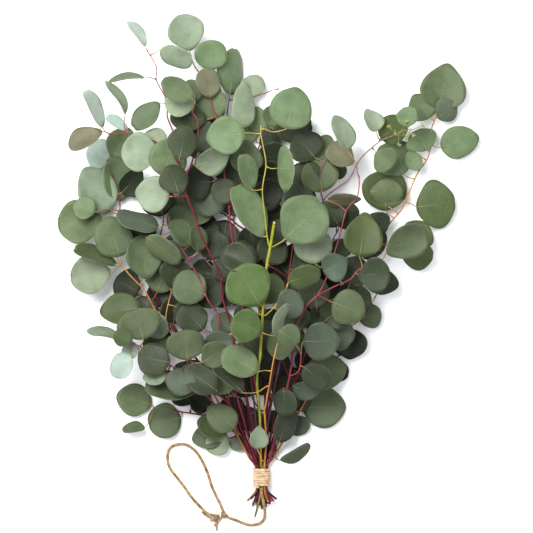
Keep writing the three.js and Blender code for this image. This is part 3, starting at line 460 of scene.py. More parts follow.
# The branches, from the surface upwards, in millimetres from the middle of the tie:
# level is the layer, slot the place in the tied bundle (across, row), cut where the cut end comes out
# below the tie, stem its route seen from above. Each leaf is base x, base y, tip x, tip y, width,
# roll and pitch in degrees, and the number of its tone in leafTones
branches = [
    dict(
        level=0, slot=[-1, 0], cut=[-11, -29], bark="crimson",
        stem=[[-12, 22], [-26, 42]],
        shoots=[
            dict(twigs=[[[-28, 44.5], [-47, 60], [-65, 63], [-84, 66], [-97, 70], [-110, 68]],
                        [[-47, 60], [-50, 70], [-53, 80]]],
                 leaves=[[-82, 60, -115, 53, 36, 4, 0, 2], [-112, 73, -147, 82, 33, 5, 0, 1],
                         [-118, 50, -141, 46, 20, 56, 0, 1], [-72, 74, -92, 92, 24, 8, 0, 3],
                         [-53, 70, -72, 80, 24, 8, 0, 3], [-52, 84, -36, 108, 34, 8, 0, 1],
                         [-57, 88, -88, 112, 38, 10, 0, 3], [-40, 58, -22, 78, 28, 8, 0, 3]]),
            dict(twigs=[[[-28.5, 40.5], [-34, 39], [-40, 38]]],
                 leaves=[[-38, 45, -71, 37, 26, 8, 0, 2], [-35, 40, -56, 27, 26, 12, 0, 0],
                         [-37, 47, -66, 56, 28, 14, 4, 6], [-16, 36, -33, 31, 16, 10, 0, 0]])]),
    dict(
        level=0, slot=[0, 0], cut=[-1, -31], bark="crimson",
        stem=[[-1, 30], [2, 90], [-4, 160], [-10, 230]],
        shoots=[
            dict(twigs=[[[-10.5, 233], [-13, 262], [-12, 288], [-10, 310], [-4, 332], [4, 348]],
                        [[-12, 246], [-24, 252], [-36, 262], [-48, 268]]],
                 leaves=[[6, 350, 11, 327, 24, 20, 0, 3], [-6, 345, -6, 372, 20, 8, 0, 1],
                         [-8, 338, -28, 354, 34, 10, 0, 1], [-14, 306, -44, 318, 36, 10, 0, 3],
                         [-8, 304, 22, 296, 38, 8, 0, 3], [5, 352, 15, 372, 24, 10, 0, 2],
                         [-48, 272, -92, 266, 40, 20, 0, 2], [-36, 258, -44, 222, 36, 8, 0, 3],
                         [-28, 262, -32, 298, 34, 6, 0, 4], [-50, 262, -70, 236, 34, 8, 0, 3],
                         [10, 346, 48, 354, 30, 8, 0, 3], [-6, 318, 24, 326, 30, 8, 0, 3],
                         [-8, 246, 20, 270, 36, 8, 0, 3], [-9, 272, 16, 294, 32, 8, 0, 3],
                         [-14, 252, -6, 220, 30, 8, 0, 3]]),
            dict(twigs=[[[-2.5, 170], [12, 182], [26, 190], [40, 196]]],
                 leaves=[[42, 196, 78, 188, 38, 6, 0, 3], [28, 186, 36, 152, 36, 8, 0, 3],
                         [16, 190, 8, 226, 38, 8, 0, 3], [-8, 186, -42, 196, 38, 6, 0, 3],
                         [2, 168, 16, 144, 30, 8, 0, 3], [6, 180, -8, 206, 28, 8, 0, 3],
                         [-6, 164, -28, 150, 32, 8, 0, 3], [14, 186, 34, 214, 32, 8, 0, 3]]),
            dict(twigs=[[[3.8, 64], [8, 78], [11, 92]]],
                 leaves=[[12, 95, 12, 128, 32, 8, 0, 3], [11, 80, 30, 98, 26, 8, 0, 3],
                         [8, 67, 14, 45, 22, 8, 0, 3], [4, 84, -10, 104, 26, 8, 0, 3]]),
            dict(twigs=[[[-2.4, 67], [-7, 73], [-10, 78]]],
                 leaves=[[-12, 81, -24, 108, 32, 8, 0, 3], [-7, 68, -24, 50, 26, 8, 0, 3],
                         [-6, 66, -4, 42, 20, 8, 0, 3]])]),
    dict(
        level=0, slot=[1, 0], cut=[4, -27], bark="crimson",
        stem=[[4, 20], [11, 42]],
        shoots=[
            dict(twigs=[[[12.5, 45], [24, 62], [34, 68], [38, 70]],
                        [[24, 62], [46, 90], [64, 110], [76, 122]]],
                 leaves=[[40, 70, 83, 71, 42, 5, 0, 2], [34, 62, 38, 42, 24, 8, 0, 4],
                         [30, 74, 27, 110, 34, 6, 0, 3], [79, 122, 86, 146, 30, 10, 0, 3],
                         [66, 109, 86, 104, 22, 10, 0, 3], [52, 104, 44, 134, 34, 6, 0, 3],
                         [28, 70, 46, 88, 26, 8, 0, 3]]),
            dict(twigs=[[[7, 19], [11, 22], [13, 27]]],
                 leaves=[[16, 35, 29, 72, 26, 24, 0, 3], [17, 17, 46, 35, 24, 56, 0, 2]])]),
    dict(
        level=1, slot=[-1.5, 1], cut=[-9, -25], bark="crimson",
        stem=[[-12, 24], [-42, 84], [-82, 140], [-115, 194]],
        shoots=[
            dict(twigs=[[[-116.5, 197], [-138, 240], [-143, 262], [-144, 278], [-150, 300], [-156, 318]],
                        [[-120, 204], [-112, 222], [-104, 240], [-100, 256]]],
                 leaves=[[-157, 264, -177, 311, 40, 14, 3, 0], [-143, 277, -151, 321, 34, 24, 0, 1],
                         [-142, 285, -121, 308, 28, 30, 0, 3], [-153, 320, -177, 328, 32, 10, 0, 8],
                         [-161, 258, -205, 253, 44, 8, 0, 1], [-168, 266, -190, 274, 24, 14, 0, 1],
                         [-100, 262, -112, 294, 36, 8, 0, 3], [-96, 252, -66, 262, 34, 8, 0, 2],
                         [-110, 236, -138, 252, 36, 8, 0, 3], [-108, 222, -78, 226, 34, 8, 0, 3],
                         [-151, 321, -134, 350, 30, 8, 0, 1]]),
            dict(twigs=[[[-86, 143], [-98, 160], [-112, 176], [-124, 184]]],
                 leaves=[[-124, 186, -148, 198, 34, 10, 0, 3], [-122, 178, -150, 182, 26, 12, 0, 0],
                         [-106, 186, -98, 214, 36, 8, 0, 1], [-98, 158, -116, 138, 34, 8, 0, 3],
                         [-106, 172, -130, 164, 30, 8, 0, 3], [-90, 154, -84, 184, 32, 8, 0, 3],
                         [-110, 171, -100, 196, 26, 10, -5, 3]])]),
    dict(
        level=1, slot=[1.5, 1], cut=[11, -24], bark="ochre",
        stem=[[12, 22], [46, 84], [77, 150], [103, 206]],
        shoots=[
            dict(twigs=[[[104.5, 209], [119, 240], [125, 252], [139, 269], [147, 287], [155, 305],
                         [165, 320], [169, 336], [169, 349], [173, 360]],
                        [[116, 234], [134, 232], [146, 230]]],
                 leaves=[[154, 271, 192, 276, 49, 5, 0, 6], [141, 304, 122, 334, 40, 8, 3, 1],
                         [123, 267, 121, 309, 47, 5, 2, 6], [178, 331, 217, 342, 33, 4, 0, 1],
                         [108, 287, 140, 284, 28, 8, 0, 2], [176, 369, 186, 415, 46, 4, 3, 2],
                         [167, 360, 151, 384, 34, 14, 0, 2], [175, 361, 193, 374, 26, 20, 0, 4],
                         [164, 328, 154, 348, 34, 12, 0, 1], [148, 234, 164, 255, 34, 10, 0, 6],
                         [140, 224, 170, 222, 32, 8, 0, 6], [120, 226, 96, 244, 34, 8, 0, 3],
                         [119, 242, 108, 264, 30, 8, 0, 3], [158, 322, 143, 312, 22, 10, 0, 1]]),
            dict(twigs=[[[79.5, 150], [92, 154], [104, 166], [112, 180]]],
                 leaves=[[97, 158, 118, 166, 27, 8, 0, 2], [114, 184, 122, 208, 36, 8, 0, 3],
                         [90, 149, 86, 118, 34, 8, 0, 3], [100, 170, 76, 190, 34, 8, 0, 3]])]),
    dict(
        level=2, slot=[-0.5, 1], cut=[-5, -30], bark="purple",
        stem=[[-6, 50], [-16, 130], [-24, 200], [-27, 235]],
        shoots=[
            dict(twigs=[[[-27.3, 238], [-30, 270], [-34, 325], [-36, 346], [-36, 363], [-34, 378]],
                        [[-30, 272], [-40, 288], [-50, 300], [-54, 312]]],
                 leaves=[[-33, 384, -27, 429, 38, 44, 0, 1], [-20, 350, -17, 397, 28, 30, 0, 0],
                         [-8, 381, -12, 404, 26, 10, 0, 0], [-44, 360, -45, 406, 30, 62, 0, 0],
                         [-40, 340, -66, 352, 34, 8, 0, 3], [-54, 316, -64, 350, 38, 8, 0, 3],
                         [-50, 296, -80, 296, 38, 8, 0, 3], [-42, 362, -64, 386, 34, 8, 0, 1],
                         [-40, 292, -24, 322, 36, 8, 0, 3], [-46, 290, -62, 264, 32, 8, 0, 4]]),
            dict(twigs=[[[-26, 190], [-38, 200], [-52, 212], [-62, 224]]],
                 leaves=[[-66, 228, -97, 240, 30, 10, 0, 4], [-54, 218, -48, 248, 34, 8, 0, 3],
                         [-40, 196, -66, 176, 34, 8, 0, 3], [-30, 206, -14, 234, 34, 8, 0, 3],
                         [-44, 202, -72, 208, 26, 10, -4, 3], [-33, 200, -47, 216, 20, 8, -5, 3],
                         [-36, 195, -44, 170, 26, 8, -3, 3]])]),
    dict(
        level=2, slot=[0.5, 1], cut=[3, -30], bark="crimson",
        stem=[[3, 24], [12, 55], [24, 82]],
        shoots=[
            dict(twigs=[[[25.5, 85], [33, 98], [38, 112], [42, 124], [48, 138], [58, 148]],
                        [[32, 97], [24, 106], [20, 118]]],
                 leaves=[[38, 156, 74, 162, 28, 12, 0, 2], [44, 101, 84, 112, 37, 5, 2, 2],
                         [64, 152, 84, 130, 30, 8, 0, 4], [60, 156, 86, 176, 32, 8, 0, 3],
                         [26, 124, 32, 153, 27, 5, 2, 2], [18, 124, -4, 138, 30, 8, 0, 3],
                         [20, 90, 24, 62, 26, 20, 0, 3], [30, 92, 54, 82, 22, 35, 0, 4]])]),
    dict(
        level=3, slot=[-2, 2], cut=[-16, -24], bark="ochre",
        stem=[[-14, 20], [-32, 54], [-60, 100], [-86, 137]],
        shoots=[
            dict(twigs=[[[-88, 140], [-108, 169], [-118, 187], [-133, 203], [-142, 214]],
                        [[-108, 169], [-114, 167], [-119, 168]],
                        [[-94, 149], [-97, 162], [-92, 184]]],
                 leaves=[[-147, 213, -187, 230, 32, 62, 0, 6], [-152, 205, -192, 200, 38, 6, 0, 0],
                         [-143, 221, -156, 262, 39, 8, 2, 2], [-117, 199, -121, 242, 38, 10, 0, 2],
                         [-122, 170, -163, 167, 33, 20, 0, 6], [-118, 160, -98, 142, 30, 30, 0, 0],
                         [-92, 190, -84, 218, 34, 12, 0, 3], [-88, 172, -68, 160, 28, 10, 0, 3],
                         [-100, 150, -110, 122, 30, 10, 0, 6]])]),
    dict(
        level=3, slot=[1, 2], cut=[7, -27], bark="purple",
        stem=[[6, 60], [20, 130], [38, 205]],
        shoots=[
            dict(twigs=[[[38.7, 208], [52, 252], [60, 277], [74, 290], [86, 299], [98, 320], [117, 337]],
                        [[60, 277], [56, 294], [58, 308], [64, 320]]],
                 leaves=[[117, 340, 144, 358, 31, 12, 0, 6], [113, 346, 104, 369, 28, 46, 0, 0],
                         [154, 358, 133, 364, 24, 30, 0, 1], [90, 314, 64, 329, 32, 36, 0, 5],
                         [113, 326, 130, 312, 28, 8, 0, 2], [60, 286, 50, 322, 38, 12, 0, 2],
                         [72, 324, 48, 332, 32, 14, 0, 1], [66, 302, 80, 316, 24, 8, 0, 3],
                         [52, 320, 32, 344, 36, 8, 0, 3], [50, 268, 22, 288, 34, 8, 0, 3],
                         [53, 294, 30, 312, 32, 8, 0, 3]]),
            dict(twigs=[[[40.5, 202], [54, 218], [66, 232], [74, 246]]],
                 leaves=[[68, 262, 96, 264, 30, 8, 0, 3], [72, 238, 84, 222, 24, 10, 0, 3],
                         [58, 232, 38, 248, 34, 8, 0, 3], [76, 252, 60, 276, 32, 8, 0, 3],
                         [48, 212, 20, 224, 36, 8, 0, 3]])]),
    dict(
        level=3, slot=[2, 2], cut=[14, -22], bark="purple",
        stem=[[7.5, 18], [20, 60], [42, 100], [56, 136]],
        shoots=[
            dict(twigs=[[[57.2, 139], [66, 158], [76, 172], [84, 188]],
                        [[66, 158], [56, 166], [48, 170]]],
                 leaves=[[86, 192, 96, 222, 34, 8, 0, 3], [46, 172, 18, 184, 34, 8, 0, 3],
                         [62, 146, 92, 142, 32, 8, 0, 4], [79, 176, 108, 180, 32, 8, 0, 3],
                         [54, 170, 48, 200, 32, 8, 0, 3]])]),
    dict(
        level=4, slot=[-1, 2], cut=[-8, -26], bark="red",
        stem=[[-8, 18], [-20, 60], [-32, 102], [-43, 140]],
        shoots=[
            dict(twigs=[[[-43.5, 143], [-45, 163], [-55, 178], [-62, 196], [-70, 211], [-80, 228],
                         [-91, 246], [-94, 262]],
                        [[-43.8, 145], [-50, 147], [-57, 146]],
                        [[-43.8, 145], [-36, 143], [-30, 142]]],
                 leaves=[[-104, 250, -147, 263, 34, 50, 0, 4], [-57, 183, -89, 198, 36, 8, 0, 2],
                         [-65, 226, -66, 253, 28, 50, 0, 2], [-72, 232, -90, 258, 28, 36, 0, 2],
                         [-116, 241, -82, 216, 32, 42, 0, 2], [-59, 148, -82, 172, 33, 14, 0, 3],
                         [-28, 138, -58, 130, 28, 10, 0, 4], [-30, 148, -50, 160, 26, 8, 0, 4],
                         [-24, 136, -4, 116, 28, 8, 0, 3]])]),
    dict(
        level=4, slot=[0, 2], cut=[-3, -28], bark="red",
        stem=[[-3, 60], [-14, 130], [-24, 195], [-31, 240]],
        shoots=[
            dict(twigs=[[[-31.3, 243], [-34, 270], [-38, 300], [-41, 330], [-45, 355], [-51, 371],
                         [-56, 394], [-68, 411], [-72, 422]],
                        [[-34, 270], [-24, 284], [-20, 300]]],
                 leaves=[[-73, 427, -81, 463, 37, 5, 3, 0], [-52, 407, -52, 438, 34, 8, 4, 1],
                         [-52, 380, -58, 410, 28, 26, 0, 5], [-46, 340, -72, 340, 34, 8, 0, 3],
                         [-60, 392, -78, 384, 22, 10, 0, 2], [-18, 304, -16, 338, 32, 10, 0, 2],
                         [-24, 278, -4, 262, 30, 10, 0, 3], [-26, 292, -50, 282, 26, 8, 0, 3],
                         [-56, 358, -92, 361, 30, 10, 0, 3], [-44, 322, -68, 312, 30, 8, 0, 0]])]),
    dict(
        level=4, slot=[0.5, 3], cut=[0.3, -20], bark="crimson",
        stem=[[0.4, 20], [2.5, 60], [9, 100], [14, 142]],
        shoots=[
            dict(twigs=[[[14.5, 145], [20, 172], [25, 200], [29, 226], [34, 256]],
                        [[25, 200], [14, 208], [6, 212]]],
                 leaves=[[36, 260, 34, 296, 34, 8, 0, 3], [4, 214, 16, 244, 32, 8, 0, 3],
                         [29, 208, 56, 222, 32, 8, 0, 3], [27, 239, 8, 256, 30, 8, 0, 3],
                         [18, 166, 44, 156, 30, 8, 0, 3], [23, 186, -4, 192, 30, 8, 0, 6],
                         [13, 138, -12, 150, 30, 8, 0, 3]])]),
    dict(
        level=5, slot=[-1.5, 3], cut=[-13, -22], bark="crimson",
        stem=[[-8, 14], [-20, 44]],
        shoots=[
            dict(twigs=[[[-21.3, 46.5], [-33, 73], [-63, 97], [-74, 105], [-92, 113], [-117, 129],
                         [-127, 134], [-138, 138]],
                        [[-92, 113], [-94, 109], [-96, 106]],
                        [[-74, 105], [-75, 111], [-75, 116]],
                        [[-33, 73], [-35, 80], [-34, 84]]],
                 leaves=[[-119, 139, -127, 168, 45, 6, 3, 2], [-142, 139, -175, 149, 26, 68, 0, 0],
                         [-134, 126, -147, 100, 25, 20, -3, 8], [-130, 137, -148, 144, 20, 16, 0, 6],
                         [-123, 129, -141, 127, 18, 10, -6, 8], [-92, 116, -125, 122, 34, 8, -3, 3],
                         [-96, 104, -120, 101, 22, 24, 0, 0], [-75, 118, -78, 149, 40, 6, 3, 2],
                         [-60, 116, -36, 132, 28, 10, 0, 2], [-34, 85, -46, 110, 30, 10, 0, 1]]),
            dict(twigs=[[[-22.5, 43.5], [-36, 62], [-49, 75], [-59, 85]]],
                 leaves=[[-69, 86, -117, 92, 34, 30, 0, 2], [-66, 92, -96, 102, 28, 12, 0, 4],
                         [-46, 88, -80, 112, 30, 10, 0, 3], [-28, 50, -55, 72, 29, 12, 0, 2]])]),
    dict(
        level=5, slot=[1.5, 3], cut=[8, -25], bark="red",
        stem=[[6, 16], [16, 60], [26, 100], [33, 150]],
        shoots=[
            dict(twigs=[[[33.6, 153], [43, 172], [54, 183], [63, 200], [70, 222], [76, 241],
                         [83, 267], [94, 282], [96, 300]],
                        [[54, 183], [72, 192], [87, 199], [96, 209], [114, 214]],
                        [[54, 183], [61, 180], [66, 177]]],
                 leaves=[[52, 214, 48, 249, 40, 8, 2, 0], [84, 327, 74, 363, 29, 44, 3, 0],
                         [64, 277, 98, 276, 28, 58, 0, 5], [96, 221, 103, 265, 39, 8, 2, 6],
                         [60, 206, 84, 218, 30, 8, 0, 4], [95, 203, 126, 204, 36, 8, 0, 3],
                         [123, 225, 162, 248, 36, 16, 0, 2], [69, 176, 102, 165, 36, 6, 2, 2]]),
            dict(twigs=[[[29, 103], [36, 108], [38, 124]]],
                 leaves=[[40, 137, 77, 137, 38, 4, 2, 4], [32, 134, 4, 134, 32, 8, 0, 2],
                         [40, 112, 66, 92, 28, 10, 0, 3]])]),
    dict(
        level=6, slot=[-0.5, 3], cut=[-6, -29], bark="crimson",
        stem=[[-4, 20], [-14, 70], [-26, 125], [-34, 161], [-39.5, 178], [-44, 207], [-59.5, 238],
              [-67.5, 261], [-76, 282]],
        shoots=[
            dict(twigs=[[[-76.8, 285], [-77, 301], [-82, 311], [-89, 324], [-88, 341], [-95, 360],
                         [-96, 377], [-106, 397], [-106, 410], [-115, 426]],
                        [[-77, 301], [-70, 317], [-65, 340], [-65, 356], [-70, 364]],
                        [[-89, 324], [-100, 332], [-128, 343.5], [-152, 343]]],
                 leaves=[[-117, 431, -134, 456, 24, 64, 5, 8], [-103, 427, -70, 414, 30, 42, 0, 0],
                         [-118, 399, -153, 398, 24, 72, 0, 2], [-103, 374, -128, 350, 24, 20, 0, 2],
                         [-104, 322, -140, 327, 39, 6, 3, 0], [-99, 301, -88, 340, 39, 8, 0, 1],
                         [-70, 368, -97, 384, 34, 16, 0, 0], [-70, 378, -99, 397, 26, 18, 3, 2],
                         [-66, 311, -31, 328, 34, 40, 0, 0], [-137, 363, -153, 398, 24, 70, 3, 0],
                         [-160, 350, -176, 386, 32, 64, 3, 8], [-160, 346, -192, 329, 26, 34, 0, 5],
                         [-135, 347, -155, 361, 20, 55, 0, 8], [-95, 337, -122, 338, 24, 12, -4, 0],
                         [-83, 318, -76, 350, 30, 12, -6, 3]]),
            dict(twigs=[[[-78.6, 281.5], [-84, 281], [-90, 281]]],
                 leaves=[[-93, 281, -127, 286, 37, 6, 3, 0], [-84, 284, -92, 312, 30, 12, -4, 3]])]),
    dict(
        level=7, slot=[0, 4], cut=[-8, -39], bark="lime",
        stem=[[-2, 14], [-3, 60], [-6, 98], [-3, 122], [-0.5, 160], [3, 207], [7, 230], [11, 254]],
        shoots=[
            dict(twigs=[[[5.5, 233], [2, 260], [-0.5, 288], [3, 312], [0.5, 329], [-2, 342], [-2, 352]]],
                 leaves=[[-18, 344, -56, 339, 38, 6, 2, 1], [-12, 288, -19, 322, 32, 52, 0, 1],
                         [0, 241, -26, 290, 34, 30, 0, 1], [14, 309, 30, 308, 46, 6, 46, 1],
                         [23, 348, 34, 390, 43, 6, 2, 1]]),
            dict(twigs=[[[9.5, 231], [15, 234], [20, 237]]],
                 leaves=[[22, 239, 57, 274, 51, 4, 3, 1]]),
            dict(twigs=[[[-4.5, 164], [-5, 168], [-5, 171]]],
                 leaves=[[-3, 173, -25, 210, 47, 5, 3, 7], [-8, 212, -40, 226, 30, 12, -8, 3]]),
            dict(twigs=[[[2.4, 163], [10, 170], [20, 183], [24, 192]]],
                 leaves=[[25, 196, 57, 207, 30, 36, 0, 6], [14, 168, 38, 180, 30, 8, -4, 4]])]),
    dict(
        level=8, slot=[1, 4], cut=[5, -24], bark="orange",
        stem=[[1.5, 14], [3, 38], [1.5, 66]],
        shoots=[
            dict(twigs=[[[1.6, 69], [7, 98], [9.5, 114], [13, 130], [16, 142]]],
                 leaves=[[-5, 107, -41, 127, 32, 12, 2, 1], [-1, 146, -31, 158, 34, 6, 3, 7],
                         [12, 143, 25, 174, 26, 60, 0, 0], [-20, 86, -47, 113, 28, 62, 0, 3],
                         [16, 148, 36, 136, 26, 10, -6, 2]]),
            dict(twigs=[[[-1, 17], [-3, 23], [-5, 27]]],
                 leaves=[[-6, 29, -3, 52, 20, 20, 3, 0]])]),
]

barkTones = {  # at the cut end, along the stem, along the twigs
    "crimson": ("#3f0f18", "#591525", "#7d2c3b"), "red": ("#5f1e29", "#782b37", "#8a414a"),
    "purple": ("#3c2a33", "#573a44", "#7b4f58"), "ochre": ("#7d4c24", "#97642f", "#a07340"),
    "orange": ("#865525", "#a37333", "#a98140"), "lime": ("#6a6522", "#7f812a", "#97863c"),
}
cutWood = "#cbb08a"
snappedWood = "#ded6a8"
petioleTone = "#8f8250"

# Half thicknesses in millimetres, and how many sides round wood is made with
wood = dict(
    stemEnd=0.95, snagEnd=1.55, twig=0.85, twigEnd=0.55, petiole=0.5, collar=1.0, stemSides=10, twigSides=8)


def layerHeight(level, x, y):
    reach = math.hypot(x, y)
    step = pile["tieStep"] + (pile["leafStep"] - pile["tieStep"]) * smoothStep(reach, *pile["thickens"])
    return pile["floor"] + level * (step - pile["droop"] * smoothStep(reach, *pile["droops"]))


def stemRoute(branch):
    x = bundle["x"] + branch["slot"][0] * bundle["spacing"]
    z = bundle["z"] + (branch["slot"][1] - 2) * bundle["spacing"] * math.sqrt(0.75)
    endZ = bundle["z"] + (z - bundle["z"]) * bundle["endSplay"]
    cutEnd = Vector((*branch["cut"], endZ))
    route = [cutEnd, Vector((x, wrap["bottom"] - 1, z)), Vector((x, wrap["top"] + 1, z))]
    for px, py in branch["stem"]:
        outward = smoothStep(py, wrap["top"], pile["leavesTie"])
        route.append(Vector((px, py, z + (layerHeight(branch["level"], px, py) - z) * outward)))
    return route


# The nearest point on some lines of points
def nearestOn(lines, target):
    best = None
    for line in lines:
        for a, b in zip(line, line[1:]):
            run = b - a
            share = min(max((target - a).dot(run) / max(run.length_squared, 1e-9), 0), 1)
            spot = a + run * share
            if best is None or (spot - target).length < (best - target).length:
                best = spot
    return best


# Bark of young eucalyptus twigs: smooth and thin, with a waxy satin look and fine lengthwise streaks
def barkMaterial():
    material, tree, shader = newMaterial(
        "young eucalyptus bark", {"Roughness": 0.42, "Specular IOR Level": 0.3})
    tone = addNode(tree, "ShaderNodeAttribute", attribute_name="tone").outputs["Color"]
    spot = addNode(tree, "ShaderNodeTexCoord").outputs["Object"]
    streaks = addNode(tree, "ShaderNodeMapping", {"Vector": spot, "Scale": (1400, 160, 1400)}).outputs[0]
    grain = addNode(tree, "ShaderNodeTexNoise", {"Vector": streaks, "Scale": 1, "Detail": 3})
    patches = addNode(tree, "ShaderNodeTexNoise", {"Vector": spot, "Scale": 90, "Detail": 2})
    both = addNode(tree, "ShaderNodeMath",
                   {0: grain.outputs["Fac"], 1: patches.outputs["Fac"]}, operation="ADD")
    value = addNode(tree, "ShaderNodeMapRange",
                    {"Value": both.outputs[0], "From Min": 0.7, "From Max": 1.3,
                     "To Min": 0.62, "To Max": 1.35}).outputs[0]
    coloured = addNode(tree, "ShaderNodeHueSaturation", {"Color": tone, "Value": value})
    tree.links.new(coloured.outputs["Color"], shader.inputs["Base Color"])
    bump = addNode(tree, "ShaderNodeBump",
                   {"Height": grain.outputs["Fac"], "Strength": 0.35, "Distance": 0.0002})
    tree.links.new(bump.outputs["Normal"], shader.inputs["Normal"])
    return material


# Round wood along smooth lines, from points that carry their own girth and tone
def woodTree():
    tree, given = newTree("round wood", [
        ("Step", "Float", 0.0025), ("Sides", "Int", 8), ("Wander", "Float", 0.0004),
        ("Unevenness", "Float", 0.18), ("Bark", "Material", None)])
    size = given.outputs
    line = addNode(tree, "GeometryNodeMeshToCurve", {"Mesh": size["Geometry"]}).outputs[0]
    soft = addNode(tree, "GeometryNodeCurveSplineType",
                   {"Curve": line}, spline_type="CATMULL_ROM").outputs[0]
    even = addNode(tree, "GeometryNodeResampleCurve", {"Curve": soft, "Length": size["Step"]},
                   mode="LENGTH").outputs[0]
    where = addNode(tree, "GeometryNodeInputPosition").outputs[0]
    bends = addNode(tree, "ShaderNodeTexNoise",
                    {"Vector": where, "Scale": 70, "Detail": 1}).outputs["Color"]
    centred = addNode(tree, "ShaderNodeVectorMath",
                      {0: bends, 1: (0.5, 0.5, 0.5)}, operation="SUBTRACT").outputs[0]
    shift = addNode(tree, "ShaderNodeVectorMath",
                    {0: centred, "Scale": size["Wander"]}, operation="SCALE")
    moved = addNode(tree, "GeometryNodeSetPosition", {"Geometry": even, "Offset": shift.outputs[0]})
    girth = addNode(tree, "GeometryNodeInputNamedAttribute",
                    {"Name": "girth"}, data_type="FLOAT").outputs[0]
    lumps = addNode(tree, "ShaderNodeTexNoise",
                    {"Vector": where, "Scale": 260, "Detail": 2}).outputs["Fac"]
    swing = addNode(tree, "ShaderNodeMath", {0: lumps, 1: 0.5}, operation="SUBTRACT").outputs[0]
    swell = addNode(tree, "ShaderNodeMath",
                    {0: swing, 1: size["Unevenness"], 2: 1}, operation="MULTIPLY_ADD")
    radius = addNode(tree, "ShaderNodeMath",
                     {0: swell.outputs[0], 1: girth}, operation="MULTIPLY").outputs[0]
    ring = addNode(tree, "GeometryNodeCurvePrimitiveCircle", {"Resolution": size["Sides"], "Radius": 1})
    rods = addNode(tree, "GeometryNodeCurveToMesh",
                   {"Curve": moved.outputs[0], "Profile Curve": ring.outputs[0], "Scale": radius,
                    "Fill Caps": True})
    smooth = addNode(tree, "GeometryNodeSetShadeSmooth", {"Geometry": rods.outputs[0]})
    real = addNode(tree, "GeometryNodeRealizeInstances", {"Geometry": smooth.outputs[0]})
    barked = addNode(tree, "GeometryNodeSetMaterial",
                     {"Geometry": real.outputs[0], "Material": size["Bark"]})
    addNode(tree, "NodeGroupOutput", {0: barked.outputs[0]})
    return tree


bark = barkMaterial()
rounding = woodTree()


# rods are lists of (point in mm, girth in mm, tone)
def roundWood(name, rods, sides):
    points, edges, girths, tones = [], [], [], []
    for rod in rods:
        edges += [(len(points) + i, len(points) + i + 1) for i in range(len(rod) - 1)]
        points += [place(spot) for spot, _, _ in rod]
        girths += [girth * mm for _, girth, _ in rod]
        tones += [linearColour(tone) if isinstance(tone, str) else tone for _, _, tone in rod]
    piece = bareMesh(name, points, edges, {"girth": ("FLOAT", girths), "tone": ("FLOAT_COLOR", tones)})
    return runTree(piece, rounding, {"Sides": sides, "Bark": bark})


def mixTones(first, second, share):
    a, b = linearColour(first), linearColour(second)
    return [p + (q - p) * share for p, q in zip(a, b)]


def stemRod(branch):
    route = branch["route"]
    cutTone, stemTone = barkTones[branch["bark"]][:2]
    ahead = (route[1] - route[0]).normalized()
    cutGirth = bundle["stemRadius"] * 1.08
    rod = [(route[0], cutGirth, cutWood), (route[0] + ahead * 0.15, cutGirth, cutTone)]
    stemEnd = wood["snagEnd"] if branch["bark"] == "lime" else wood["stemEnd"]
    for i, spot in enumerate(route[1:], 1):
        share = i / (len(route) - 1)
        girth = bundle["stemRadius"] + (stemEnd - bundle["stemRadius"]) * share
        rod.append((spot, girth, mixTones(cutTone, stemTone, min(1, share * 2))))
    if branch["bark"] == "lime":  # this stem is snapped off at its top, and shows pale wood
        spot, girth, _ = rod[-1]
        rod += [(spot + (spot - route[-2]).normalized() * 0.2, girth * 0.9, snappedWood)]
    return rod


for number, branch in enumerate(branches, 1):
    branch["name"] = f"branch_{number:02d}"
    branch["route"] = stemRoute(branch)
    stem = roundWood(branch["name"] + "_bark", [stemRod(branch)], wood["stemSides"])
    settle(stem, [branch["name"] + "_stem"])
print("stems done")

# Thin bare side stems between the branches near the tie: where each leaves it (across, height), its end
bareStems = dict(
    bark="crimson", girths=(0.85, 0.5), start=8, bow=1.5,
    runs=[((-5.5, 9.5), (-47, 80, 12)), ((-4.5, 10.5), (-42, 90, 13)), ((-5, 7.5), (-34, 94, 19)),
          ((-3.5, 9), (-28, 104, 13)), ((-2.5, 6.8), (-20, 98, 12)), ((-0.5, 7), (-12, 112, 14)),
          ((0.5, 9.5), (8, 108, 20)), ((1.5, 8), (17, 104, 13)), ((3, 9), (26, 100, 19)),
          ((3.5, 7), (34, 92, 13))])


def bareStemRod(start, end):
    first = Vector((start[0], bareStems["start"], start[1]))
    last = Vector(end)
    outward = -bareStems["bow"] if end[0] < 0 else bareStems["bow"]
    middle = (first + last) / 2 + Vector((outward, 0, -bareStems["bow"]))
    cutTone, stemTone = barkTones[bareStems["bark"]][:2]
    thick, thin = bareStems["girths"]
    return [(first, thick, cutTone), (middle, (thick + thin) / 2, stemTone), (last, thin, stemTone)]


bareRods = [bareStemRod(start, end) for start, end in bareStems["runs"]]
bareWood = roundWood("bare_side_stems", bareRods, wood["twigSides"])
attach(bareWood, "root")


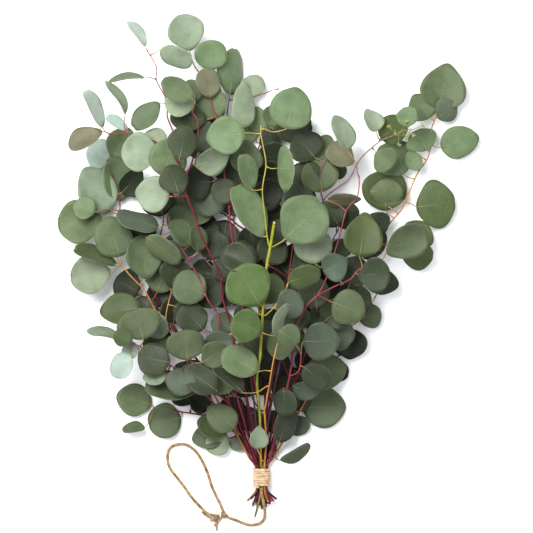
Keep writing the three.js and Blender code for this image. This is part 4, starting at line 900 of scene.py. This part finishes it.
# Leaves. Each blade starts as one of these flat outlines, bent out of its plane, all as shares of its
# length: egg widens it towards the stalk, wedge draws the base out, point and notch shape the tip, cup
# raises the sides, fold creases it along the midrib, curl bends the tip down, twist turns it, wave ripples
# the edge and lobe makes the outline uneven
bladeTraits = ("egg", "wedge", "point", "notch", "cup", "fold", "curl", "twist", "wave", "lobe")
bladeShapes = [dict(zip(bladeTraits, row)) for row in (
    (0.10, 0.12, 0.06, 0.0, 0.07, 0.03, 0.06, 0.05, 0.014, 0.020),
    (0.16, 0.08, 0.09, 0.0, -0.06, 0.04, 0.09, -0.06, 0.016, -0.015),
    (-0.02, 0.12, 0.0, 0.08, 0.05, 0.02, 0.03, 0.05, 0.018, 0.030),
    (-0.08, 0.16, 0.03, 0.03, 0.10, 0.06, -0.03, 0.02, 0.012, 0.025),
    (0.14, 0.10, 0.12, 0.0, 0.03, 0.07, 0.12, 0.10, 0.014, -0.010),
    (0.05, 0.09, 0.02, 0.05, -0.09, 0.01, 0.05, -0.09, 0.020, 0.035),
    (0.20, 0.07, 0.13, 0.0, 0.12, 0.03, 0.08, 0.04, 0.016, 0.010),
    (0.0, 0.16, 0.05, 0.0, -0.04, 0.05, 0.0, -0.11, 0.024, -0.025),
    (0.06, 0.10, 0.05, 0.0, 0.07, 0.04, -0.05, 0.0, 0.004, 0.015),
    (0.12, 0.12, 0.0, 0.04, 0.09, 0.05, -0.03, 0.0, 0.004, -0.020),
)]
# Leaves lower than this height take only shapes that bend upwards, and are kept clear of the surface
lowLeaf = dict(height=6.5, shapes=[8, 9], clearance=1.0, cupping=3.5)
blade = dict(
    squares=10, thickness=0.012, rim=0.45, midribWidth=0.011, midribHeight=0.010, midribReach=0.9,
    ribSteps=8, bend=0.006, bendScale=38.0)

tieToTopTone = dict(tie=0.8, top=1.12, reach=(60, 400))  # leaves are darker near the tie and lighter towards the top of the bunch
paintedPileShade = dict(tone=3, lowest=0.45, heights=(4, 50))  # painted shade: dark leaves are darkened the deeper they lie in the pile
varied = dict(shade=(0.88, 1.1), warmth=0.04)  # how tones differ from leaf to leaf

# A leaf stalk: how far it sags and swings and where its foot ends, as shares of the gap between twig and leaf
stalk = dict(sag=0.12, swing=0.12, foot=0.12, footGirth=1.25, underLeaf=0.05, endGirth=0.7)

# pale sage, light green, grey green, dark (a dark leaf colour, deepened further as painted shade for the
# depths of the pile), blue grey, khaki, olive, yellow green, very pale
leafTones = [
    "#717c67", "#546346", "#48543b", "#2a3322", "#424d3f", "#5a5947", "#3e4a2a", "#43562a", "#8d9b90"]


# Height of a blade above its plane at x across (-1 to 1) and y along (0 to 1)
def bladeHeight(shape, x, y, turn, rim):
    crease = math.sqrt(x * x + 0.006)
    ripple = shape["wave"] * math.sin(3 * turn + 5 * shape["egg"]) * rim ** 3
    return (shape["cup"] * x * x + shape["fold"] * crease - shape["curl"] * y * y
            + shape["twist"] * x * (y - 0.3) + ripple)


# Where a point of a round disc comes on the blade, and how near the rim it is
def bladeSpot(shape, x, y):
    turn = math.atan2(x, y)
    rim = math.hypot(x, y)
    away = math.pi - abs(turn)
    tip = shape["point"] * math.exp(-(turn / 0.35) ** 2) - shape["notch"] * math.exp(-(turn / 0.16) ** 2)
    heel = shape["wedge"] * math.exp(-(away / 0.42) ** 2)
    lobes = shape["lobe"] * math.cos(4 * turn + 0.5) + 0.010 * math.sin(3 * turn + 9 * shape["cup"])
    stretch = 1 + tip + heel + lobes
    grown = 1 + (stretch - 1) * rim * rim
    x, y = x * grown * (1 - shape["egg"] * y), y * grown
    low, high = -1 - shape["wedge"], 1 + shape["point"] - shape["notch"]
    y = (y - low) / (high - low)
    return x, y, bladeHeight(shape, x, y, turn, rim), rim


# One blade with its raised midrib, one unit long and wide. side marks the faces: 0 upper, 1 under, 2 midrib
def bladeTemplate(name, shape):
    n = blade["squares"]
    points, faces, sides, maps, rims = [], [], [], [], []
    for layer in (0.5, -0.5):
        for row in range(n + 1):
            for column in range(n + 1):
                s, t = 2 * column / n - 1, 2 * row / n - 1
                across, along = s * math.sqrt(1 - t * t / 2), t * math.sqrt(1 - s * s / 2)
                x, y, z, rim = bladeSpot(shape, across, along)
                thick = blade["thickness"] * (1 - (1 - blade["rim"]) * rim ** 4)
                points.append((x / 2, y, z + layer * thick))
                maps.append((x, y))
                rims.append(rim)
    under = (n + 1) ** 2
    for row in range(n):
        for column in range(n):
            a = row * (n + 1) + column
            faces.append((a, a + 1, a + n + 2, a + n + 1))
            sides.append(0)
            faces.append(tuple(under + q for q in (a, a + n + 1, a + n + 2, a + 1)))
            sides.append(1)
    edge = list(range(n)) + [r * (n + 1) + n for r in range(n)]
    edge += [n * (n + 1) + c for c in range(n, 0, -1)] + [r * (n + 1) for r in range(n, 0, -1)]
    for a, b in zip(edge, edge[1:] + edge[:1]):
        faces.append((b, a, under + a, under + b))
        sides.append(1)
    ribStart = len(points)
    ribSteps = blade["ribSteps"]
    for step in range(ribSteps + 1):
        share = step / ribSteps
        y = 0.01 + (blade["midribReach"] - 0.01) * share
        z = bladeHeight(shape, 0, y, 0, abs(2 * y - 1))
        halfWidth = blade["midribWidth"] * (1 - 0.8 * share)
        halfHeight = blade["midribHeight"] * (1 - 0.25 * share)
        points += [(halfWidth, y, z), (0, y, z + halfHeight), (-halfWidth, y, z), (0, y, z - halfHeight)]
        maps += [(0, y)] * 4
        rims += [0] * 4
    for step in range(ribSteps):
        a = ribStart + 4 * step
        for k in range(4):
            faces.append((a + k, a + (k + 1) % 4, a + 4 + (k + 1) % 4, a + 4 + k))
            sides.append(2)
    faces.append(tuple(ribStart + k for k in (3, 2, 1, 0)))
    faces.append(tuple(ribStart + 4 * ribSteps + k for k in range(4)))
    sides += [2, 2]
    mesh = bpy.data.meshes.new(name)
    mesh.from_pydata(points, [], faces)
    mesh.attributes.new("side", "INT", "FACE").data.foreach_set("value", sides)
    mesh.attributes.new("rim", "FLOAT", "POINT").data.foreach_set("value", rims)
    bladeMap = mesh.attributes.new("bladeMap", "FLOAT_VECTOR", "POINT")
    bladeMap.data.foreach_set("vector", np.ravel([(x, y, 0) for x, y in maps]))
    return bpy.data.objects.new(name, mesh)


templates = bpy.data.collections.new("blade shapes")
for number, shape in enumerate(bladeShapes):
    templates.objects.link(bladeTemplate(f"blade_{number}", shape))


# Silver-dollar eucalyptus leaf: a tough grey-green blade under a matt waxy bloom, finely veined,
# a little glossy where the bloom is thin. under is the paler side, with more bloom
def leafMaterial(name, under):
    material, tree, shader = newMaterial(
        name, {"Specular IOR Level": 0.28, "Sheen Weight": 0.05, "Sheen Roughness": 0.5})
    tone = addNode(tree, "ShaderNodeAttribute", attribute_name="tone").outputs["Color"]
    rim = addNode(tree, "ShaderNodeAttribute", attribute_name="rim").outputs["Fac"]
    bladeMap = addNode(tree, "ShaderNodeAttribute", attribute_name="bladeMap").outputs["Vector"]
    spot = addNode(tree, "ShaderNodeTexCoord").outputs["Object"]
    parts = addNode(tree, "ShaderNodeSeparateXYZ", {0: bladeMap}).outputs
    outward = addNode(tree, "ShaderNodeMath", {0: parts["X"]}, operation="ABSOLUTE").outputs[0]
    # side veins leave the midrib about every 3 mm and run out at some 55 degrees
    drift = addNode(tree, "ShaderNodeTexNoise",
                    {"Vector": spot, "Scale": 110, "Detail": 2}).outputs["Fac"]
    climb = addNode(tree, "ShaderNodeMath",
                    {0: outward, 1: -0.36, 2: parts["Y"]}, operation="MULTIPLY_ADD")
    bent = addNode(tree, "ShaderNodeMath",
                   {0: drift, 1: 0.07, 2: climb.outputs[0]}, operation="MULTIPLY_ADD")
    bands = addNode(tree, "ShaderNodeMath",
                    {0: bent.outputs[0], 1: 2 * math.pi * 12}, operation="MULTIPLY")
    ripple = addNode(tree, "ShaderNodeMath", {0: bands.outputs[0]}, operation="COSINE").outputs[0]
    veins = addNode(tree, "ShaderNodeMapRange", {"Value": ripple, "From Min": 0.9, "From Max": 1.0},
                    interpolation_type="SMOOTHSTEP").outputs[0]
    # net of the finest veins, about 1 mm across
    net = addNode(tree, "ShaderNodeTexVoronoi",
                  {"Vector": spot, "Scale": 900}, feature="DISTANCE_TO_EDGE")
    lines = addNode(tree, "ShaderNodeMapRange",
                    {"Value": net.outputs["Distance"], "From Min": 0.0, "From Max": 0.12,
                     "To Min": 1.0, "To Max": 0.0}).outputs[0]
    # bloom: cloudy patches of 5 to 15 mm and a fine powder of about 0.6 mm
    clouds = addNode(tree, "ShaderNodeTexNoise",
                     {"Vector": spot, "Scale": 85, "Detail": 3, "Roughness": 0.55})
    powder = addNode(tree, "ShaderNodeTexNoise", {"Vector": spot, "Scale": 1500, "Detail": 2})
    both = addNode(tree, "ShaderNodeMath", {0: powder.outputs["Fac"], 1: 0.35, 2: clouds.outputs["Fac"]},
                   operation="MULTIPLY_ADD").outputs[0]
    value = addNode(tree, "ShaderNodeMapRange", {"Value": both, "From Min": 0.42, "From Max": 0.95,
                                                 "To Min": 0.78, "To Max": 1.24}).outputs[0]
    shaded = addNode(tree, "ShaderNodeHueSaturation", {"Color": tone, "Value": value}).outputs["Color"]
    veinShare = addNode(tree, "ShaderNodeMath",
                        {0: veins, 1: 0.1 if under else 0.045}, operation="MULTIPLY")
    netShare = addNode(tree, "ShaderNodeMath", {0: lines, 1: 0.05, 2: veinShare.outputs[0]},
                       operation="MULTIPLY_ADD").outputs[0]
    veined = addNode(tree, "ShaderNodeMix", {"Factor": netShare, 6: shaded, 7: linearColour("#c3cf9a")},
                     data_type="RGBA").outputs[2]
    edge = addNode(tree, "ShaderNodeMapRange", {"Value": rim, "From Min": 0.965, "From Max": 1.0,
                                                "To Max": 0.15}).outputs[0]
    edged = addNode(tree, "ShaderNodeMix", {"Factor": edge, 6: veined, 7: linearColour("#b59a78")},
                    data_type="RGBA").outputs[2]
    # a few brown specks up to 1 mm, as old leaves have
    specks = addNode(tree, "ShaderNodeTexVoronoi", {"Vector": spot, "Scale": 120}, feature="F1")
    speck = addNode(tree, "ShaderNodeMapRange",
                    {"Value": specks.outputs["Distance"], "From Min": 0.035, "From Max": 0.06,
                     "To Min": 0.55, "To Max": 0.0}).outputs[0]
    final = addNode(tree, "ShaderNodeMix", {"Factor": speck, 6: edged, 7: linearColour("#6d5236")},
                    data_type="RGBA").outputs[2]
    if under:
        final = addNode(tree, "ShaderNodeMix", {"Factor": 0.28, 6: final, 7: linearColour("#b4c2b0")},
                        data_type="RGBA").outputs[2]
    tree.links.new(final, shader.inputs["Base Color"])
    gloss = addNode(tree, "ShaderNodeMapRange",
                    {"Value": clouds.outputs["Fac"], "From Min": 0.3, "From Max": 0.7,
                     "To Min": 0.44, "To Max": 0.62}).outputs[0]
    tree.links.new(gloss, shader.inputs["Roughness"])
    relief = addNode(tree, "ShaderNodeMath",
                     {0: veins, 1: -0.4 if not under else 0.9, 2: powder.outputs["Fac"]},
                     operation="MULTIPLY_ADD").outputs[0]
    bump = addNode(tree, "ShaderNodeBump", {"Height": relief, "Strength": 0.35, "Distance": 0.0003})
    tree.links.new(bump.outputs["Normal"], shader.inputs["Normal"])
    return material


# Midrib: the leaf's main vein, paler and more yellow than the blade, smooth and a little shiny
def midribMaterial():
    material, tree, shader = newMaterial("leaf midrib", {"Roughness": 0.45})
    bladeMap = addNode(tree, "ShaderNodeAttribute", attribute_name="bladeMap").outputs["Vector"]
    tone = addNode(tree, "ShaderNodeAttribute", attribute_name="tone").outputs["Color"]
    y = addNode(tree, "ShaderNodeSeparateXYZ", {0: bladeMap}).outputs["Y"]
    ramp = addNode(tree, "ShaderNodeValToRGB", {"Fac": y})
    ramp.color_ramp.elements[0].color = linearColour("#9c8450")
    ramp.color_ramp.elements[1].position = 0.45
    ramp.color_ramp.elements[1].color = linearColour("#93a06c")
    share = addNode(tree, "ShaderNodeMapRange",
                    {"Value": y, "From Min": 0.1, "From Max": 0.9, "To Min": 0.4,
                     "To Max": 0.8}).outputs[0]
    mixed = addNode(tree, "ShaderNodeMix", {"Factor": share, 6: ramp.outputs["Color"], 7: tone},
                    data_type="RGBA").outputs[2]
    tree.links.new(mixed, shader.inputs["Base Color"])
    return material


# What each leaf's point carries: its directions, size in metres, stalk end, tone, shape number,
# a number of its own for its bend, and how free it is to bend
leafFacts = dict(
    along="FLOAT_VECTOR", facing="FLOAT_VECTOR", size="FLOAT_VECTOR", stalkEnd="FLOAT_VECTOR",
    tone="FLOAT_COLOR", shape="INT", number="FLOAT", loose="FLOAT")


# Blades on points that carry those facts
def leafTree():
    tree, given = newTree("leaves", [
        ("Shapes", "Collection", None), ("Bend", "Float", 0.004), ("Bend size", "Float", 0.03),
        ("Upper", "Material", None), ("Under", "Material", None), ("Midrib", "Material", None)])
    size = given.outputs
    fact = {key: addNode(tree, "GeometryNodeInputNamedAttribute",
                         {"Name": key}, data_type=kind).outputs[0]
            for key, kind in leafFacts.items() if key != "tone"}
    shapes = addNode(tree, "GeometryNodeCollectionInfo",
                     {"Collection": size["Shapes"], "Separate Children": True,
                      "Reset Children": True}).outputs[0]
    turned = addNode(tree, "FunctionNodeAxesToRotation", {0: fact["along"], 1: fact["facing"]},
                     primary_axis="Y", secondary_axis="Z").outputs[0]
    laid = addNode(tree, "GeometryNodeInstanceOnPoints",
                   {"Points": size["Geometry"], "Instance": shapes, "Pick Instance": True,
                    "Instance Index": fact["shape"], "Rotation": turned, "Scale": fact["size"]})
    real = addNode(tree, "GeometryNodeRealizeInstances", {"Geometry": laid.outputs[0]}).outputs[0]
    # each blade gets its own slow bend, growing from nothing at the stalk
    where = addNode(tree, "GeometryNodeInputPosition").outputs[0]
    away = addNode(tree, "ShaderNodeVectorMath",
                   {0: where, 1: fact["stalkEnd"]}, operation="SUBTRACT").outputs[0]
    reach = addNode(tree, "ShaderNodeVectorMath", {0: away}, operation="LENGTH").outputs["Value"]
    free = addNode(tree, "ShaderNodeMapRange",
                   {"Value": reach, "From Min": 0.0, "From Max": 0.03}).outputs[0]
    fine = addNode(tree, "ShaderNodeVectorMath",
                   {0: away, "Scale": size["Bend size"]}, operation="SCALE").outputs[0]
    noise = addNode(tree, "ShaderNodeTexNoise",
                    {"Vector": fine, "W": fact["number"], "Scale": 1, "Detail": 1},
                    noise_dimensions="4D").outputs["Fac"]
    swing = addNode(tree, "ShaderNodeMath", {0: noise, 1: 0.5}, operation="SUBTRACT").outputs[0]
    amount = addNode(tree, "ShaderNodeMath", {0: swing, 1: size["Bend"]}, operation="MULTIPLY").outputs[0]
    held = addNode(tree, "ShaderNodeMath", {0: free, 1: fact["loose"]}, operation="MULTIPLY").outputs[0]
    grown = addNode(tree, "ShaderNodeMath", {0: amount, 1: held}, operation="MULTIPLY").outputs[0]
    shift = addNode(tree, "ShaderNodeVectorMath",
                    {0: fact["facing"], "Scale": grown}, operation="SCALE").outputs[0]
    bent = addNode(tree, "GeometryNodeSetPosition", {"Geometry": real, "Offset": shift}).outputs[0]
    smooth = addNode(tree, "GeometryNodeSetShadeSmooth", {"Geometry": bent}).outputs[0]
    side = addNode(tree, "GeometryNodeInputNamedAttribute", {"Name": "side"}, data_type="INT").outputs[0]
    painted = smooth
    for mark, label in enumerate(("Upper", "Under", "Midrib")):
        here = addNode(tree, "FunctionNodeCompare",
                       {2: side, 3: mark}, data_type="INT", operation="EQUAL").outputs[0]
        painted = addNode(tree, "GeometryNodeSetMaterial",
                          {"Geometry": painted, "Selection": here, "Material": size[label]}).outputs[0]
    addNode(tree, "NodeGroupOutput", {0: painted})
    return tree


leafing = leafTree()
upperSide = leafMaterial("waxy leaf, upper side", False)
underSide = leafMaterial("waxy leaf, under side", True)
midrib = midribMaterial()


# Where a leaf lies: its stalk end and the directions along it, across it and out of its face
def bladeFrame(leaf, level, lift):
    baseX, baseY, tipX, tipY, _, roll, pitch = leaf[:7]
    base = Vector((baseX, baseY, layerHeight(level, baseX, baseY) + lift))
    flat = Vector((tipX - baseX, tipY - baseY, 0))
    rise = math.radians(pitch)
    length = flat.length / math.cos(rise)
    along = flat.normalized() * math.cos(rise) + up * math.sin(rise)
    across = Matrix.Rotation(math.radians(roll), 3, along) @ along.cross(up).normalized()
    return base, along, across, across.cross(along), length


tipReach = 0.7  # how near to its own place the tip of a packed leaf is looked for

# How far a packed leaf was raised from its layer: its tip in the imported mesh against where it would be
def packedLift(corners, leaf, level):
    base, along, _, _, length = bladeFrame(leaf, level, 0)
    tip = place(base + along * length)
    near = corners[np.hypot(corners[:, 0] - tip.x, corners[:, 1] - tip.y) < tipReach * mm]
    return None if len(near) == 0 else (near[:, 2].mean() - tip.z) / mm


dice = random.Random(21)
unfound = []
for branch in branches:
    stemTone, twigTone = barkTones[branch["bark"]][1:]
    for count, shoot in enumerate(branch["shoots"], 1):
        node = f"{branch['name']}_shoot_{count}"
        corners = np.array([v.co for v in frame["nodes"][node].data.vertices], float)
        routes = [[Vector((x, y, layerHeight(branch["level"], x, y))) for x, y in twig]
                  for twig in shoot["twigs"]]
        rods = []
        for i, route in enumerate(routes):
            root = nearestOn([branch["route"]] + routes[:i], route[0])
            line = ([root] if (root - route[0]).length > 0.5 else []) + route
            shares = [k / (len(line) - 1) for k in range(len(line))]
            rods.append([
                (spot, wood["twig"] + (wood["twigEnd"] - wood["twig"]) * share,
                 mixTones(stemTone, twigTone, share))
                for spot, share in zip(line, shares)])
        points, facts = [], {key: [] for key in leafFacts}
        for leaf in shoot["leaves"]:
            lift = packedLift(corners, leaf, branch["level"])
            if lift is None:
                unfound.append(node)
                lift = 0
            base, along, across, facing, length = bladeFrame(leaf, branch["level"], lift)
            lowest = min(base.z, base.z + along.z * length) - leaf[4] / 2 * abs(across.z)
            base.z += max(0, lowLeaf["clearance"] + lowLeaf["cupping"] * abs(across.z) - lowest)
            root = nearestOn(routes, base)
            gap = base - root
            sideways = gap.cross(up) * dice.uniform(-stalk["swing"], stalk["swing"])
            sag = Vector((0, 0, -stalk["sag"] * gap.length)) + sideways
            thin = wood["petiole"]
            rods.append([
                (root, wood["collar"], twigTone),
                (root + gap * stalk["foot"], thin * stalk["footGirth"], twigTone),
                (root + gap * 0.5 + sag, thin, mixTones(twigTone, petioleTone, 0.5)),
                (base, thin, mixTones(twigTone, petioleTone, 0.9)),
                (base + along * stalk["underLeaf"] * length, thin * stalk["endGirth"], petioleTone)])
            points.append(place(base))
            facts["along"].append(along)
            facts["facing"].append(facing)
            facts["size"].append((leaf[4] * mm, length * mm, length * mm))
            facts["stalkEnd"].append(place(base))
            shade = dice.uniform(*varied["shade"])
            # painted shade: dark leaves low in the pile are darkened as if shaded by the leaves above them
            if leaf[7] == paintedPileShade["tone"]:
                lit = smoothStep(base.z, *paintedPileShade["heights"])
                shade *= paintedPileShade["lowest"] + (1 - paintedPileShade["lowest"]) * lit
            # darker near the tie and lighter towards the top; young is only how far up the bunch the leaf's
            # base lies
            young = smoothStep(base.y, *tieToTopTone["reach"])
            shade *= tieToTopTone["tie"] + (tieToTopTone["top"] - tieToTopTone["tie"]) * young
            warm = dice.uniform(-varied["warmth"], varied["warmth"])
            tone = linearColour(leafTones[leaf[7]])
            facts["tone"].append((tone[0] * (shade + warm), tone[1] * shade, tone[2] * (shade - warm), 1))
            low = lowest < lowLeaf["height"]
            facts["shape"].append(dice.choice(lowLeaf["shapes"] if low else range(lowLeaf["shapes"][0])))
            facts["number"].append(dice.uniform(0, 50))
            facts["loose"].append(smoothStep(lowest, 1, 2 * lowLeaf["height"]))
        twigs = roundWood(node + "_twigs", rods, wood["twigSides"])
        settle(twigs, [node])
        leaves = bareMesh(node + "_leaves", points, [],
                          {key: (kind, facts[key]) for key, kind in leafFacts.items()})
        runTree(leaves, leafing, {
            "Shapes": templates, "Bend": blade["bend"], "Bend size": blade["bendScale"],
            "Upper": upperSide, "Under": underSide, "Midrib": midrib})
        settle(leaves, [node])
print("leaves done,", len(unfound), "without a packed tip")

for shape in list(templates.objects):
    bpy.data.objects.remove(shape)
bpy.data.collections.remove(templates)


# Small things on the twigs, in millimetres: a spray of green flower buds at the right, and one red bud at
# the top of the bunch
buds = dict(
    stalk=[(117, 337, 34), (128, 341, 44), (138, 346, 53), (150, 348, 58)], reach=(5, 11), perSpray=5,
    sprays=9, firstSpray=0.45, turn=2.4, budStalk=(1.2, 2.4), length=2.6, width=1.5, stalkGirth=0.32,
    step=1.5, sides=6, green="#737844", tip="#a19a5c", seed=17)
redOne = dict(
    stalk=[(-9, 381.5, 15), (2, 385, 19), (9, 388, 22)], end=(15, 389, 23.5), girth=0.42, length=4.5,
    width=2.2, tone="#a5323c")


# Eucalyptus flower buds: tiny hard waxy caps with a satin look, cloudy between two tones
def budMaterial(name, first, second):
    material, tree, shader = newMaterial(name, {"Roughness": 0.5})
    spot = addNode(tree, "ShaderNodeTexCoord").outputs["Object"]
    clouds = addNode(tree, "ShaderNodeTexNoise",
                     {"Vector": spot, "Scale": 700, "Detail": 2}).outputs["Fac"]
    share = addNode(tree, "ShaderNodeMapRange",
                    {"Value": clouds, "From Min": 0.35, "From Max": 0.65}).outputs[0]
    mixed = addNode(tree, "ShaderNodeMix",
                    {"Factor": share, 6: linearColour(first), 7: linearColour(second)},
                    data_type="RGBA").outputs[2]
    tree.links.new(mixed, shader.inputs["Base Color"])
    return material


# Buds on points: a pointed egg of few faces, turned to the way its stalk runs
def budTree():
    tree, given = newTree("buds", [
        ("Length", "Float", 0.0026), ("Width", "Float", 0.0015), ("Skin", "Material", None)])
    size = given.outputs
    facing = addNode(tree, "GeometryNodeInputNamedAttribute",
                     {"Name": "facing"}, data_type="FLOAT_VECTOR").outputs[0]
    egg = addNode(tree, "GeometryNodeMeshUVSphere", {"Segments": 8, "Rings": 6, "Radius": 0.5}).outputs[0]
    where = addNode(tree, "GeometryNodeInputPosition").outputs[0]
    parts = addNode(tree, "ShaderNodeSeparateXYZ", {0: where}).outputs
    taper = addNode(tree, "ShaderNodeMapRange", {"Value": parts["Z"], "From Min": -0.5, "From Max": 0.5,
                                                 "To Min": 1.15, "To Max": 0.55}).outputs[0]
    thin = addNode(tree, "ShaderNodeCombineXYZ", {0: taper, 1: taper, 2: 1.0}).outputs[0]
    shaped = addNode(tree, "ShaderNodeVectorMath", {0: where, 1: thin}, operation="MULTIPLY").outputs[0]
    pointed = addNode(tree, "GeometryNodeSetPosition", {"Geometry": egg, "Position": shaped}).outputs[0]
    turned = addNode(tree, "FunctionNodeAlignRotationToVector", {"Vector": facing}, axis="Z").outputs[0]
    scale = addNode(tree, "ShaderNodeCombineXYZ",
                    {0: size["Width"], 1: size["Width"], 2: size["Length"]}).outputs[0]
    laid = addNode(tree, "GeometryNodeInstanceOnPoints",
                   {"Points": size["Geometry"], "Instance": pointed, "Rotation": turned,
                    "Scale": scale}).outputs[0]
    real = addNode(tree, "GeometryNodeRealizeInstances", {"Geometry": laid}).outputs[0]
    smooth = addNode(tree, "GeometryNodeSetShadeSmooth", {"Geometry": real}).outputs[0]
    skinned = addNode(tree, "GeometryNodeSetMaterial",
                      {"Geometry": smooth, "Material": size["Skin"]}).outputs[0]
    addNode(tree, "NodeGroupOutput", {0: skinned})
    return tree


def budSpray():
    dice = random.Random(buds["seed"])
    spine = [Vector(q) for q in buds["stalk"]]
    line = smoothLine(spine, buds["step"])
    girth, green = buds["stalkGirth"], buds["green"]
    rods = [[(spot, girth * (1.5 - 0.5 * k / len(line)), green) for k, spot in enumerate(line)]]
    ends, ways = [], []
    for spray in range(buds["sprays"]):
        share = buds["firstSpray"] + (1 - buds["firstSpray"]) * spray / (buds["sprays"] - 1)
        start = line[round(share * (len(line) - 1))]
        turn = spray * buds["turn"]
        out = Vector((math.cos(turn), math.sin(turn), dice.uniform(0.1, 0.5))).normalized()
        hub = start + out * dice.uniform(*buds["reach"])
        rods.append([(start, girth, green), (hub, girth * 0.8, green)])
        for _ in range(buds["perSpray"]):
            lean = Vector((dice.uniform(-1, 1), dice.uniform(-1, 1), dice.uniform(-0.3, 0.8)))
            way = (out + lean * 0.9).normalized()
            end = hub + way * dice.uniform(*buds["budStalk"])
            rods.append([(hub, girth * 0.7, green), (end, girth * 0.7, green)])
            ends.append(place(end + way * buds["length"] * 0.4))
            ways.append(way)
    return rods, ends, ways


budding = budTree()
rods, ends, ways = budSpray()
stalks = roundWood("flower_bud_stalks", rods, buds["sides"])
greenBuds = bareMesh("flower_buds", ends, [], {"facing": ("FLOAT_VECTOR", ways)})
runTree(greenBuds, budding, {"Length": buds["length"] * mm, "Width": buds["width"] * mm,
                             "Skin": budMaterial("waxy flower bud", buds["green"], buds["tip"])})
redRod = [(Vector(q), redOne["girth"], barkTones["red"][1]) for q in redOne["stalk"] + [redOne["end"]]]
redStalk = roundWood("red_bud_stalk", [redRod], buds["sides"])
redWay = (Vector(redOne["end"]) - Vector(redOne["stalk"][-1])).normalized()
redBud = bareMesh("red_bud", [place(redOne["end"])], [], {"facing": ("FLOAT_VECTOR", [redWay])})
runTree(redBud, budding, {"Length": redOne["length"] * mm, "Width": redOne["width"] * mm,
                          "Skin": budMaterial("waxy red bud", redOne["tone"], barkTones["red"][2])})
for piece, slotName in (
        (stalks, "green_bark"), (greenBuds, "green_bark"), (redStalk, "red_bark"), (redBud, "red_bark")):
    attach(piece, "root")
print("buds done")


# A plain pale floor and soft studio light
room = dict(half=3, floor="#f7f7f7", air="#f7f9ff", daylight=0.72)
floor = bpy.data.objects.new("floor", bpy.data.meshes.new("floor"))
floorCorners = [(x * room["half"], y * room["half"], 0) for x, y in ((-1, -1), (1, -1), (1, 1), (-1, 1))]
floor.data.from_pydata(floorCorners, [], [(0, 1, 2, 3)])
bpy.context.scene.collection.objects.link(floor)
card = newMaterial("matt white card", {"Base Color": linearColour(room["floor"]), "Roughness": 0.9})[0]
floor.data.materials.append(card)

world = bpy.data.worlds.new("soft room")
bpy.context.scene.world = world
world.use_nodes = True
air = world.node_tree.nodes["Background"]
air.inputs["Color"].default_value = linearColour(room["air"])
air.inputs["Strength"].default_value = room["daylight"]


def softLight(name, spot, aim, size, power):
    lamp = bpy.data.objects.new(name, bpy.data.lights.new(name, "AREA"))
    lamp.data.size = size
    lamp.data.energy = power
    lamp.location = spot
    lamp.rotation_euler = (Vector(aim) - Vector(spot)).to_track_quat("-Z", "Y").to_euler()
    bpy.context.scene.collection.objects.link(lamp)


softLight("key", spot=(-0.75, 0.75, 1.9), aim=(0, 0, 0), size=1.2, power=66)
softLight("fill", spot=(1.2, -0.6, 1.5), aim=(0, 0, 0), size=1.4, power=10)
bpy.context.scene.view_settings.view_transform = "Standard"
bpy.context.scene.view_settings.look = "Medium High Contrast"
